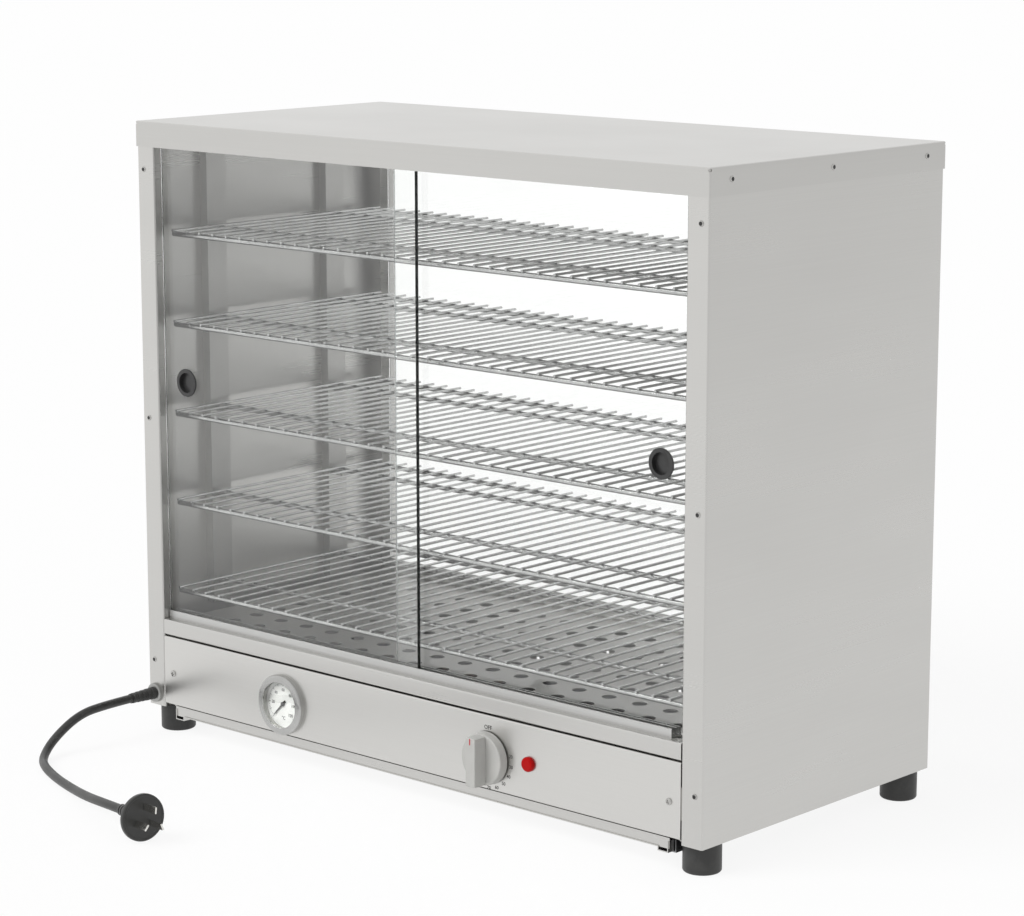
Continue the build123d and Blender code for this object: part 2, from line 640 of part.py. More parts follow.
# Thermostat: body behind the panel, boss through it, shaft and knob in front
THERMOSTAT_WIDTH = 46.0
THERMOSTAT_HEIGHT = 42.0
THERMOSTAT_DEPTH = 30.0
BEHIND_PANEL = -PANEL_Y + SHEET
BOSS_FRONT = -PANEL_Y - 0.5
SHAFT_BACK = BEHIND_PANEL + 12.0
KNOB_BACK = -PANEL_Y - KNOB_GAP
KNOB_FACE = KNOB_BACK - KNOB_SKIRT
SHAFT_TIP = KNOB_FACE - 6.0
with BuildPart() as thermostat_body:
    with BuildSketch(Plane.XZ.offset(-BEHIND_PANEL)):
        with Locations((KNOB_X, CONTROL_Z)):
            RectangleRounded(THERMOSTAT_WIDTH, THERMOSTAT_HEIGHT, 3)
    extrude(amount=-THERMOSTAT_DEPTH)
    with BuildSketch(Plane.XZ.offset(-BEHIND_PANEL)):
        with Locations((KNOB_X, CONTROL_Z)):
            Circle(4.4)
    extrude(amount=BEHIND_PANEL - BOSS_FRONT)
    with BuildSketch(Plane.XZ.offset(-BOSS_FRONT)):
        with Locations((KNOB_X, CONTROL_Z)):
            Circle(SHAFT_DIAMETER / 2 + SHAFT_CLEARANCE)
    extrude(amount=-(SHAFT_BACK - BOSS_FRONT + 0.5), mode=Mode.SUBTRACT)
write(thermostat_body.part, "thermostat_body")

with BuildPart() as thermostat_shaft:
    with BuildSketch(Plane.XZ.offset(-SHAFT_BACK)):
        with Locations((KNOB_X, CONTROL_Z)):
            Circle(SHAFT_DIAMETER / 2)
    extrude(amount=SHAFT_BACK - SHAFT_TIP)
write(thermostat_shaft.part, "thermostat_shaft")

with BuildPart() as thermostat_knob:
    with BuildSketch(Plane.XZ.offset(-KNOB_BACK)):
        with Locations((KNOB_X, CONTROL_Z)):
            Circle(KNOB_DIAMETER / 2)
    extrude(amount=KNOB_SKIRT, taper=4)
    fillet(thermostat_knob.faces().sort_by(Axis.Y)[0].edges(), 1.5)
    with BuildSketch(Plane.XZ.offset(-KNOB_FACE)):
        with Locations((KNOB_X, CONTROL_Z)):
            Circle(KNOB_DIAMETER / 2 - 1.5)
            Rectangle(KNOB_GRIP_WIDTH, KNOB_DIAMETER, mode=Mode.INTERSECT)
    extrude(amount=KNOB_GRIP)
    extrude(
        thermostat_knob.faces().filter_by(Axis.Y).sort_by(Axis.Y)[0],
        amount=-KNOB_GRIP - 2.0,
        mode=Mode.ADD,
    )
    fillet(thermostat_knob.faces().sort_by(Axis.Y)[0].edges(), 1.2)
    with BuildSketch(Plane.XZ.offset(-KNOB_BACK)):
        with Locations((KNOB_X, CONTROL_Z)):
            Circle(SHAFT_DIAMETER / 2)
    extrude(amount=KNOB_BACK - SHAFT_TIP, mode=Mode.SUBTRACT)
write(thermostat_knob.part, "thermostat_knob")

# Thermometer: bezel, lens, dial, pointer and a case with its movement boss
BEZEL_RISE = 6.0
BEZEL_BORE = 46.0
LENS = 1.5
LENS_FACE = -PANEL_Y - BEZEL_RISE + 2.0
CASE_FRONT = LENS_FACE + LENS
CASE_BACK = CASE_FRONT + THERMOMETER_DEPTH + 1.3
CASE_WALL = 1.0
DIAL_FACE = CASE_FRONT + 3.8
DIAL_THICKNESS = 0.8
ARBOR_RADIUS = 0.75
ARBOR_CLEARANCE = 0.08
MOVEMENT_RADIUS = 8.0
ARBOR_BACK = DIAL_FACE + 7.0


def instrument_disc(start_y, end_y, radius, centre=(THERMOMETER_X, CONTROL_Z)):
    """A plain disc between two depths."""
    with BuildPart() as disc:
        with BuildSketch(Plane.XZ.offset(-start_y)):
            with Locations(centre):
                Circle(radius)
        extrude(amount=start_y - end_y)
    return disc.part


with BuildPart() as thermometer_bezel:
    add(instrument_disc(-PANEL_Y, -PANEL_Y - BEZEL_RISE, THERMOMETER_BEZEL / 2))
    fillet(thermometer_bezel.faces().sort_by(Axis.Y)[0].edges(), 2.5)
    add(instrument_disc(0, -DEPTH, BEZEL_BORE / 2), mode=Mode.SUBTRACT)
    add(instrument_disc(0, LENS_FACE, THERMOMETER_CASE / 2 + 0.1), mode=Mode.SUBTRACT)
write(thermometer_bezel.part, "thermometer_bezel")

with BuildPart() as thermometer_lens:
    add(instrument_disc(CASE_FRONT, LENS_FACE, THERMOMETER_CASE / 2))
write(thermometer_lens.part, "thermometer_lens")

with BuildPart() as thermometer_case:
    add(instrument_disc(CASE_BACK, CASE_FRONT, THERMOMETER_CASE / 2))
    add(
        instrument_disc(CASE_BACK - CASE_WALL, CASE_FRONT, THERMOMETER_CASE / 2 - CASE_WALL),
        mode=Mode.SUBTRACT,
    )
    add(instrument_disc(CASE_BACK - CASE_WALL, DIAL_FACE + DIAL_THICKNESS, MOVEMENT_RADIUS))
    add(
        instrument_disc(ARBOR_BACK + 0.5, DIAL_FACE, ARBOR_RADIUS + ARBOR_CLEARANCE),
        mode=Mode.SUBTRACT,
    )
write(thermometer_case.part, "thermometer_case")

with BuildPart() as thermometer_dial:
    add(
        instrument_disc(
            DIAL_FACE + DIAL_THICKNESS, DIAL_FACE, THERMOMETER_CASE / 2 - CASE_WALL - 0.1
        )
    )
    add(
        instrument_disc(0, -DEPTH, ARBOR_RADIUS + ARBOR_CLEARANCE),
        mode=Mode.SUBTRACT,
    )
write(thermometer_dial.part, "thermometer_dial")

# Pointer at rest on the scale's start, half way between six and nine o'clock
POINTER_TIP = 17.0
POINTER_TAIL = 5.0
POINTER_LIFT = 0.6
with BuildPart() as thermometer_pointer:
    add(instrument_disc(ARBOR_BACK, DIAL_FACE - POINTER_LIFT, ARBOR_RADIUS))
    add(instrument_disc(DIAL_FACE - POINTER_LIFT, DIAL_FACE - POINTER_LIFT - 1.0, 2.2))
    pointer_plane = Plane(
        (THERMOMETER_X, DIAL_FACE - POINTER_LIFT, CONTROL_Z),
        x_dir=(-math.sin(math.radians(45)), 0, -math.cos(math.radians(45))),
        z_dir=(0, -1, 0),
    )
    with BuildSketch(pointer_plane):
        with BuildLine():
            Polyline(
                (-POINTER_TAIL, -1.3),
                (-POINTER_TAIL, 1.3),
                (POINTER_TIP, 0.35),
                (POINTER_TIP, -0.35),
                close=True,
            )
        make_face()
    extrude(amount=0.5)
write(thermometer_pointer.part, "thermometer_pointer")

# Indicator lamp
LAMP_Z = BOTTOM + LAMP_LEVEL
LAMP_RISE = 4.0
with BuildPart() as indicator_lens:
    add(instrument_disc(-PANEL_Y, -PANEL_Y - LAMP_RISE, LAMP_DIAMETER / 2, (LAMP_X, LAMP_Z)))
    fillet(indicator_lens.faces().sort_by(Axis.Y)[0].edges(), 2.4)
write(indicator_lens.part, "indicator_lens")

with BuildPart() as indicator_body:
    add(instrument_disc(BEHIND_PANEL + 12, -PANEL_Y, 5.9, (LAMP_X, LAMP_Z)))
    with BuildSketch(Plane.XZ.offset(-BEHIND_PANEL)):
        with Locations((LAMP_X, LAMP_Z)):
            RegularPolygon(8.5, 6)
    extrude(amount=-4.0)
    with BuildSketch(Plane.XZ.offset(-BEHIND_PANEL - 12)):
        with Locations((LAMP_X, LAMP_Z)):
            RectangleRounded(14, 14, 1)
    extrude(amount=-14.0)
write(indicator_body.part, "indicator_body")

# Terminal block on the base pan
BLOCK_X = -(WIDTH / 2 - 52.5)
BLOCK_Y = -(DEPTH / 2 - 57.0)
BLOCK_HEIGHT = 18.0
with BuildPart() as terminal_block:
    with BuildSketch(Plane.XY.offset(PAN_TOP)):
        with Locations((BLOCK_X, BLOCK_Y)):
            RectangleRounded(34, 22, 2)
    extrude(amount=BLOCK_HEIGHT)
    with BuildSketch(Plane.XY.offset(PAN_TOP + BLOCK_HEIGHT)):
        with Locations((BLOCK_X, BLOCK_Y)):
            with GridLocations(11.0, 11.0, 3, 2):
                Circle(2.4)
    extrude(amount=-6.0, mode=Mode.SUBTRACT)
write(terminal_block.part, "terminal_block")


# Gland on the left post, its lock nut and the tapered sleeve on the lead
GLAND_BORE = CORD_DIAMETER / 2
GLAND_REAR = BEHIND_PANEL + 9.0
gland_centre = (GLAND_X, GLAND_Z)
with BuildPart() as cable_gland:
    add(instrument_disc(-PANEL_Y, -PANEL_Y - HEAD_LENGTH, GLAND_HEAD / 2, gland_centre))
    fillet(cable_gland.faces().sort_by(Axis.Y)[0].edges(), 2.0)
    add(instrument_disc(GLAND_REAR, -PANEL_Y, 6.1, gland_centre))
    add(instrument_disc(0, -DEPTH, GLAND_BORE, gland_centre), mode=Mode.SUBTRACT)
write(cable_gland.part, "cable_gland")

with BuildPart() as gland_nut:
    with BuildSketch(Plane.XZ.offset(-BEHIND_PANEL)):
        with Locations(gland_centre):
            RegularPolygon(8.0, 6, major_radius=False, rotation=30)
            Circle(6.15, mode=Mode.SUBTRACT)
    extrude(amount=-4.5)
write(gland_nut.part, "gland_nut")

SLEEVE_FRONT = -PANEL_Y - HEAD_LENGTH - SLEEVE_LENGTH
with BuildPart() as cord_sleeve:
    with BuildSketch(Plane.XZ.offset(PANEL_Y + HEAD_LENGTH)):
        with Locations(gland_centre):
            Circle(6.4)
    with BuildSketch(Plane.XZ.offset(-SLEEVE_FRONT)):
        with Locations(gland_centre):
            Circle(CORD_DIAMETER / 2 + 0.8)
    loft()
    add(instrument_disc(0, -DEPTH, CORD_DIAMETER / 2, gland_centre), mode=Mode.SUBTRACT)
write(cord_sleeve.part, "cord_sleeve")

# Mains lead: its route was chosen by hand, from the gland's sleeve to the plug
CORD_REST = CORD_DIAMETER / 2 + 0.05
LEAD_START = Vector(GLAND_X, SLEEVE_FRONT, 0)
PLUG_AXIS = Vector(0.98, -0.18, 0.05).normalized()
PLUG_NECK = LEAD_START + Vector(231.37, -211.56, 20.27)
LAST_RUN = 30.0
CORD_ROUTE = [
    LEAD_START + Vector(0, 0, GLAND_Z),
    LEAD_START + Vector(0, -32.2, GLAND_Z),
    LEAD_START + Vector(-2.5, -65.2, 36.0),
    LEAD_START + Vector(-8.5, -93.2, 15.9),
    LEAD_START + Vector(4.5, -118.7, CORD_REST),
    LEAD_START + Vector(31.5, -138.2, CORD_REST),
    LEAD_START + Vector(73.5, -156.2, CORD_REST),
    LEAD_START + Vector(118.5, -172.5, 6.5),
    LEAD_START + Vector(158.2, -189.7, 12.0),
    PLUG_NECK - PLUG_AXIS * LAST_RUN,
    PLUG_NECK,
]


def bend_radii(route):
    """One radius for each corner, as large as its two runs allow."""
    radii = []
    for before, corner, after in zip(route, route[1:], route[2:]):
        shorter = min((corner - before).length, (after - corner).length)
        turn = (corner - before).get_angle(after - corner)
        radii.append(0.45 * shorter / math.tan(math.radians(turn / 2)))
    return radii


cord_radii = bend_radii(CORD_ROUTE)
print("cord radii", [round(radius, 1) for radius in cord_radii])
power_cord = tube(CORD_ROUTE, CORD_DIAMETER, cord_radii)
write(power_cord, "power_cord")
with BuildLine() as cord_line:
    FilletPolyline(*CORD_ROUTE, radius=cord_radii)
cord_length = cord_line.wire().length
print("cord length", round(cord_length, 1))
print("cord volume ratio", power_cord.volume / (cord_length * math.pi * CORD_DIAMETER**2 / 4))

# Plug: a thin moulded disc on a ribbed neck, lying on its rim, with three flat blades
PLUG_RADIUS = PLUG_DIAMETER / 2
with BuildPart() as plug_body:
    with BuildSketch(Plane(PLUG_NECK, x_dir=PLUG_AXIS, z_dir=PLUG_AXIS.cross(Vector(0, 1, 0)))):
        with BuildLine():
            Polyline(
                (0, 0),
                (0, 5.4),
                (13, 7.4),
                (28, 8.4),
                (33, 14.0),
                (PLUG_LENGTH - 5, PLUG_RADIUS - 1),
                (PLUG_LENGTH - 4, PLUG_RADIUS),
                (PLUG_LENGTH - 1, PLUG_RADIUS),
                (PLUG_LENGTH, PLUG_RADIUS - 1),
                (PLUG_LENGTH, 0),
                (0, 0),
            )
        make_face()
    revolve(axis=Axis(PLUG_NECK, PLUG_AXIS))
write(plug_body.part, "plug_body")

BLADE_WIDTH = 6.35
BLADE_THICKNESS = 1.6
BLADE_LENGTH = 20.0
with BuildPart() as plug_pins:
    upwards = Vector(0, 0, 1).rotate(Axis((0, 0, 0), PLUG_AXIS), PLUG_ROLL)
    with BuildSketch(Plane(PLUG_NECK + PLUG_AXIS * PLUG_LENGTH, x_dir=upwards, z_dir=PLUG_AXIS)):
        with Locations(Location((-10.3, 0), 0)):
            Rectangle(BLADE_WIDTH, BLADE_THICKNESS)
        with Locations(Location((5.0, -8.0), -30), Location((5.0, 8.0), 30)):
            Rectangle(BLADE_WIDTH, BLADE_THICKNESS)
    extrude(amount=BLADE_LENGTH)
    fillet(plug_pins.edges().filter_by(lambda edge: edge.length < BLADE_THICKNESS * 1.01), 0.6)
write(plug_pins.part, "plug_pins")

# Internal wiring: the lead's tail to the terminal block, and the single wires
TAIL_BEND = 14.0
WIRE = 3.0
WIRE_BEND = 6.0
BLOCK_TOP = PAN_TOP + BLOCK_HEIGHT
WIRE_LEVEL = PAN_TOP + 9.0
WIRE_Y = -(DEPTH / 2 - 34.0)
CONTROL_WIRE_Y = -(DEPTH / 2 - 20.0)
LAMP_WIRE_Y = -(DEPTH / 2 - 22.0)
with BuildPart() as internal_leads:
    add(
        tube(
            [
                (GLAND_X, -PANEL_Y - HEAD_LENGTH, GLAND_Z),
                (GLAND_X, BLOCK_Y, GLAND_Z),
                (BLOCK_X - 17.0, BLOCK_Y, GLAND_Z),
            ],
            CORD_DIAMETER - 0.1,
            TAIL_BEND,
        )
    )
    add(
        tube(
            [
                (BLOCK_X + 17.0, BLOCK_Y, WIRE_LEVEL),
                (BLOCK_X + 28.0, BLOCK_Y, WIRE_LEVEL),
                (BLOCK_X + 55.0, WIRE_Y, WIRE_LEVEL),
                (KNOB_X - 69.0, WIRE_Y, WIRE_LEVEL),
                (KNOB_X - 49.0, CONTROL_WIRE_Y, CONTROL_Z - 10),
                (KNOB_X - THERMOSTAT_WIDTH / 2, CONTROL_WIRE_Y, CONTROL_Z - 10),
            ],
            WIRE,
            WIRE_BEND,
        )
    )
    add(
        tube(
            [
                (KNOB_X + THERMOSTAT_WIDTH / 2, LAMP_WIRE_Y, LAMP_Z - 2),
                (LAMP_X - 7.0, LAMP_WIRE_Y, LAMP_Z - 2),
            ],
            WIRE,
            WIRE_BEND,
        )
    )
    add(
        tube(
            [
                (BLOCK_X - 11.0, BLOCK_Y + 5.0, BLOCK_TOP),
                (BLOCK_X - 11.0, BLOCK_Y + 5.0, ELEMENT_LEVEL + 6),
                (ELEMENT_END - STUD - 18.0, -OUTER_RUN, ELEMENT_LEVEL + 6),
                (ELEMENT_END - STUD - 12.0, -OUTER_RUN, ELEMENT_LEVEL),
                (ELEMENT_END - STUD, -OUTER_RUN, ELEMENT_LEVEL),
            ],
            WIRE,
            2.0,
        )
    )
    add(
        tube(
            [
                (BLOCK_X, BLOCK_Y + 11.0, WIRE_LEVEL),
                (BLOCK_X, BLOCK_Y + 45.0, WIRE_LEVEL),
                (ELEMENT_END - STUD - 16.0, 20.0, WIRE_LEVEL),
                (ELEMENT_END - STUD - 16.0, OUTER_RUN, WIRE_LEVEL + 6),
                (ELEMENT_END - STUD - 16.0, OUTER_RUN, ELEMENT_LEVEL),
                (ELEMENT_END - STUD, OUTER_RUN, ELEMENT_LEVEL),
            ],
            WIRE,
            4.0,
        )
    )
write(internal_leads.part, "internal_leads")

# Sensing bulbs under the perforated floor, on capillaries
BULB_DIAMETER = 8.0
BULB_LENGTH = 90.0
BULB_Y = -(DEPTH / 2 - 50.0)
PROBE_Y = -(DEPTH / 2 - 24.0)
BULB_Z = DECK_UNDER - REST_GAP - BULB_DIAMETER / 2
CAPILLARY = 2.0


def sensor(route, bulb_end, direction):
    with BuildPart() as probe:
        add(tube(route + [bulb_end], CAPILLARY, 4.0))
        with BuildSketch(Plane(bulb_end, z_dir=direction)):
            Circle(BULB_DIAMETER / 2)
        extrude(amount=BULB_LENGTH)
    return probe.part


THERMOSTAT_TOP = CONTROL_Z + THERMOSTAT_HEIGHT / 2
thermostat_sensor = sensor(
    [
        (KNOB_X, PROBE_Y, THERMOSTAT_TOP),
        (KNOB_X, PROBE_Y, THERMOSTAT_TOP + 10),
        (KNOB_X, BULB_Y, BULB_Z),
    ],
    (80.0, BULB_Y, BULB_Z),
    (-1, 0, 0),
)
write(thermostat_sensor, "thermostat_sensor")
thermometer_sensor = sensor(
    [
        (THERMOMETER_X, CASE_BACK, CONTROL_Z),
        (THERMOMETER_X, PROBE_Y + 12.0, CONTROL_Z),
        (THERMOMETER_X, BULB_Y, BULB_Z),
    ],
    (THERMOMETER_X + 25, BULB_Y, BULB_Z),
    (1, 0, 0),
)
write(thermometer_sensor, "thermometer_sensor")


# Feet: turned rubber with a recess for the screw's head
HEAD_RECESS = 15.0
with BuildPart() as foot:
    with BuildSketch(Plane.XY):
        Circle(FOOT_DIAMETER / 2)
    extrude(amount=FOOT_HEIGHT)
    fillet(foot.faces().sort_by(Axis.Z)[0].edges(), 2.5)
    with Locations((0, 0, 0)):
        Cylinder(6.0, HEAD_RECESS, align=(Align.CENTER, Align.CENTER, Align.MIN), mode=Mode.SUBTRACT)
        Cylinder(
            FOOT_SCREW / 2 + 0.2,
            FOOT_HEIGHT,
            align=(Align.CENTER, Align.CENTER, Align.MIN),
            mode=Mode.SUBTRACT,
        )
FOOT_PLACES = {
    "front_left_foot": (-FOOT_X, -FOOT_Y),
    "front_right_foot": (FOOT_X, -FOOT_Y),
    "rear_left_foot": (-FOOT_X, FOOT_Y),
    "rear_right_foot": (FOOT_X, FOOT_Y),
}
for name, (foot_x, foot_y) in FOOT_PLACES.items():
    write(foot.part.moved(Location((foot_x, foot_y, 0))), name)

# Foot screws and nuts
NUT_HEIGHT = 4.0
with BuildPart() as foot_fasteners:
    with GridLocations(2 * FOOT_X, 2 * FOOT_Y, 2, 2):
        with Locations((0, 0, HEAD_RECESS - 3.5)):
            Cylinder(4.5, 3.5, align=(Align.CENTER, Align.CENTER, Align.MIN))
        with Locations((0, 0, HEAD_RECESS)):
            Cylinder(
                FOOT_SCREW / 2,
                PAN_TOP + NUT_HEIGHT + 1.5 - HEAD_RECESS,
                align=(Align.CENTER, Align.CENTER, Align.MIN),
            )
    with BuildSketch(Plane.XY.offset(PAN_TOP)):
        with GridLocations(2 * FOOT_X, 2 * FOOT_Y, 2, 2):
            RegularPolygon(4.0, 6, major_radius=False)
    extrude(amount=NUT_HEIGHT)
write(foot_fasteners.part, "foot_fasteners")

# Panel screws, front and rear
with BuildPart() as panel_screws:
    for face_y, outward in ((-PANEL_Y, -1), (PANEL_Y, 1)):
        with BuildSketch(Plane.XZ.offset(-face_y)):
            with Locations((-SCREW_X, BOTTOM + SCREW_LEVEL), (SCREW_X, BOTTOM + SCREW_LEVEL)):
                Circle(3.3)
        extrude(amount=-outward * 1.8)
        with BuildSketch(Plane.XZ.offset(-face_y)):
            with Locations((-SCREW_X, BOTTOM + SCREW_LEVEL), (SCREW_X, BOTTOM + SCREW_LEVEL)):
                Circle(1.85)
        extrude(amount=outward * 6.0)
write(panel_screws.part, "panel_screws")

# Rivets in the posts and in the lid's skirt
with BuildPart() as rivets:
    for face_y, outward in ((-PANEL_Y, -1), (PANEL_Y, 1)):
        for side in (-1, 1):
            for level in RIVET_LEVELS:
                with BuildSketch(Plane.XZ.offset(-face_y)):
                    with Locations((side * RIVET_X, BOTTOM + level)):
                        Circle(RIVET_HEAD / 2)
                extrude(amount=-outward * RIVET_RISE)
                with BuildSketch(Plane.XZ.offset(-face_y)):
                    with Locations((side * RIVET_X, BOTTOM + level)):
                        Circle(RIVET_DIAMETER / 2)
                extrude(amount=outward * 3.0)
    for side in (-1, 1):
        with BuildSketch(Plane.YZ.offset(side * WIDTH / 2)):
            with Locations(*[(y, BOTTOM + LID_RIVET_LEVEL) for y in LID_RIVET_YS]):
                Circle(RIVET_HEAD / 2)
        extrude(amount=side * RIVET_RISE)
        with BuildSketch(Plane.YZ.offset(side * WIDTH / 2)):
            with Locations(*[(y, BOTTOM + LID_RIVET_LEVEL) for y in LID_RIVET_YS]):
                Circle(RIVET_DIAMETER / 2)
        extrude(amount=-side * 4.0)
write(rivets.part, "rivets")
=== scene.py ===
"""Looks of a heated pie display case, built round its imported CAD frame."""

import math

import bpy
from mathutils import Matrix, Vector


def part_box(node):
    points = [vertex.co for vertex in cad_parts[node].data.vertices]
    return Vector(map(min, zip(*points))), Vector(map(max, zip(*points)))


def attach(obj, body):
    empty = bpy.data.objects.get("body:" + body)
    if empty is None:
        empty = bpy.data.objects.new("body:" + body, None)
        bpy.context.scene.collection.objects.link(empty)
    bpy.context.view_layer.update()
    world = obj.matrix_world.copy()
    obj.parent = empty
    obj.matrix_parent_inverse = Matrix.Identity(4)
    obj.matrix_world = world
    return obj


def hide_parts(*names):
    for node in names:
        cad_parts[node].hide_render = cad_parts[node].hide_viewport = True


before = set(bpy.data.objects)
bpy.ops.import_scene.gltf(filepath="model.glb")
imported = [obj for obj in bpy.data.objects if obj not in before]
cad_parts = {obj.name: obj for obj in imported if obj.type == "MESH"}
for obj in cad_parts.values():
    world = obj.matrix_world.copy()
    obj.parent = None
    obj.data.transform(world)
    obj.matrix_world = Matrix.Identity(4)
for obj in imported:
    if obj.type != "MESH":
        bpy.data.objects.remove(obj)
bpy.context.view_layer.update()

bl_info = {
    "name": "Pie display case",
    "version": (1, 0, 0),
    "blender": (4, 5, 0),
    "location": "View3D > Sidebar > Pie case",
    "description": "Builds the finishes, prints, lead and fittings of a heated pie display case",
    "category": "Object",
}

# The photo's camera, solved from the cabinet's straight edges
CAMERA_AZIMUTH = math.radians(42.258)
CAMERA_ELEVATION = math.radians(10.827)
CAMERA_TARGET = Vector((-0.01646, 0, 0.3014))
CAMERA_DISTANCE = 2.99464
CAMERA_LENS = 108.32

# Studio light: the key and the fill each have a direction, a strength and an angle in degrees
LAMPS = (
    ("Key", (-0.35, -0.75, 0.75), 1.9, 35),
    ("Fill", (0.8, -0.3, 0.6), 0.2, 50),
)

# How bright the floor is in gloss, against its place along X, and how much of it is plain white
FLOOR_LEAN = -0.055
FLOOR_LIFT = 0.03
FLOOR_LIMIT = 0.12
FLOOR_SHOWN = 0.88

# How bright the surroundings are in gloss, by direction, and for all other light
WORLD_LEAN = (-0.17, -0.02, 0.06)
WORLD_GLOSS = 0.92
WORLD_SOFT = 0.55

# Finishes
# Painted shade on the side panels' inward faces: the colour's scale at the floor, and how much it
# drops per metre up
WALL_SHADE = 0.98
WALL_FALL = 0.5
CLEAR_GLASS = (0.985, 0.99, 0.985, 1)
DUST_COLOUR = (0.52, 0.51, 0.49, 1.0)
BUMP_DISTANCE = 0.0002

# Turns a shape modelled upright, facing up, so that it faces the front or the back
FRONTWARD = Matrix.Rotation(math.radians(90), 4, "X")
BACKWARD = Matrix.Rotation(math.radians(-90), 4, "X")

# The lead's route from its sleeve to the plug, as the CAD source gives it
LEAD_ROUTE = [
    (-0.3515, -0.2048, 0.0395),
    (-0.3515, -0.2370, 0.0395),
    (-0.3540, -0.2700, 0.0360),
    (-0.3600, -0.2980, 0.0159),
    (-0.3470, -0.3235, 0.00435),
    (-0.3200, -0.3430, 0.00435),
    (-0.2780, -0.3610, 0.00435),
    (-0.2330, -0.3773, 0.0065),
    (-0.1933, -0.3945, 0.0120),
    (-0.14960, -0.41095, 0.01877),
    (-0.12013, -0.41636, 0.02027),
]
PLUG_AXIS = Vector((0.98, -0.18, 0.05)).normalized()

# Strain relief and the ribbed neck of the plug
RELIEF_RIBS = 5
RELIEF_RADIUS = 0.0064
RELIEF_TAPER = 0.0013
RELIEF_GROOVE = 0.0008
RELIEF_BORE = 0.0043
PLUG_RIBS = 4
PLUG_RIB_PITCH = 0.0046
PLUG_RIB_GROWTH = 0.0005

# Rivets in the posts, and in the two ends of the lid's skirt
POST_RIVET_X = 0.3525
POST_RIVET_LEVELS = (0.074, 0.3235, 0.5725)
LID_RIVET_YS = (-0.1425, 0.0, 0.1425)
LID_RIVET_LEVEL = 0.6085
RIVET_RISE = 0.0008

# Panel screw heads
SCREW_RADIUS = 0.0033
SCREW_RISE = 0.0018
RECESS_SIZE = (0.0008, 0.0040, 0.0022)

# Printed scales: angles are clockwise from the top, in degrees
DIAL_START = 225
DIAL_SWEEP = 270
DIAL_NUMBERS = 7
DIAL_VALUE_STEP = 20
DIAL_NUMBER_RADIUS = 0.0142
DIAL_TICKS = ((0.0006, 0.0026, 0.0193, 13), (0.0003, 0.0016, 0.0198, 61))
KNOB_START = 78
KNOB_STEP = 20
KNOB_NUMBERS = 11
KNOB_FIRST_VALUE = 20
KNOB_VALUE_STEP = 10
OFF_INSET = 0.0004
KNOB_MARK_SIZE = (0.0012, 0.0060, 0.0003)
KNOB_MARK_DROP = 0.0052

# Places on the front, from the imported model
PANEL_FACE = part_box("control_panel")[0].y
KNOB_LOW, KNOB_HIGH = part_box("thermostat_knob")
KNOB_CENTRE = (KNOB_LOW + KNOB_HIGH) / 2
DIAL_LOW, DIAL_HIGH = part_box("thermometer_dial")
DIAL_CENTRE = (DIAL_LOW + DIAL_HIGH) / 2


def case_sizes():
    return bpy.context.scene.case_sizes


def case_colours():
    return bpy.context.scene.case_colours


class CaseSizes(bpy.types.PropertyGroup):
    """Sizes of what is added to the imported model"""

    lead_diameter: bpy.props.FloatProperty(
        name="Lead diameter",
        description="Diameter of the mains lead",
        default=0.0086,
        unit="LENGTH",
    )
    scale_number_height: bpy.props.FloatProperty(
        name="Knob numbers",
        description="Height of the numbers round the knob",
        default=0.0032,
        unit="LENGTH",
    )
    off_height: bpy.props.FloatProperty(
        name="OFF height",
        description="Height of the word at the knob's top",
        default=0.0038,
        unit="LENGTH",
    )
    scale_radius: bpy.props.FloatProperty(
        name="Knob scale radius",
        description="Distance of the numbers from the knob's centre",
        default=0.0288,
        unit="LENGTH",
    )
    dial_number_height: bpy.props.FloatProperty(
        name="Dial numbers",
        description="Height of the thermometer's numbers",
        default=0.0030,
        unit="LENGTH",
    )
    print_rise: bpy.props.FloatProperty(
        name="Print thickness",
        description="How far the printing stands out",
        default=0.00006,
        unit="LENGTH",
    )


class CaseColours(bpy.types.PropertyGroup):
    """Colours of the main finishes"""

    steel: bpy.props.FloatVectorProperty(
        name="Stainless sheet",
        description="Colour of the brushed sheet",
        default=(0.590, 0.584, 0.566),
        subtype="COLOR",
    )
    rubber: bpy.props.FloatVectorProperty(
        name="Rubber",
        description="Colour of the lead, plug and feet",
        default=(0.026, 0.026, 0.025),
        subtype="COLOR",
    )
    knob: bpy.props.FloatVectorProperty(
        name="Knob",
        description="Colour of the thermostat's knob",
        default=(0.450, 0.448, 0.430),
        subtype="COLOR",
    )
    lamp: bpy.props.FloatVectorProperty(
        name="Lamp",
        description="Colour of the indicator lamp",
        default=(0.400, 0.0, 0.0),
        subtype="COLOR",
    )
    ink: bpy.props.FloatVectorProperty(
        name="Ink",
        description="Colour of the numbers",
        default=(0.040, 0.040, 0.038),
        subtype="COLOR",
    )


def deselect():
    if bpy.context.mode != "OBJECT":
        bpy.ops.object.mode_set(mode="OBJECT")
    bpy.ops.object.select_all(action="DESELECT")


def pick(*pieces):
    """Selects these pieces only, the first of them active."""
    deselect()
    for piece in pieces:
        piece.select_set(True)
    bpy.context.view_layer.objects.active = pieces[0]


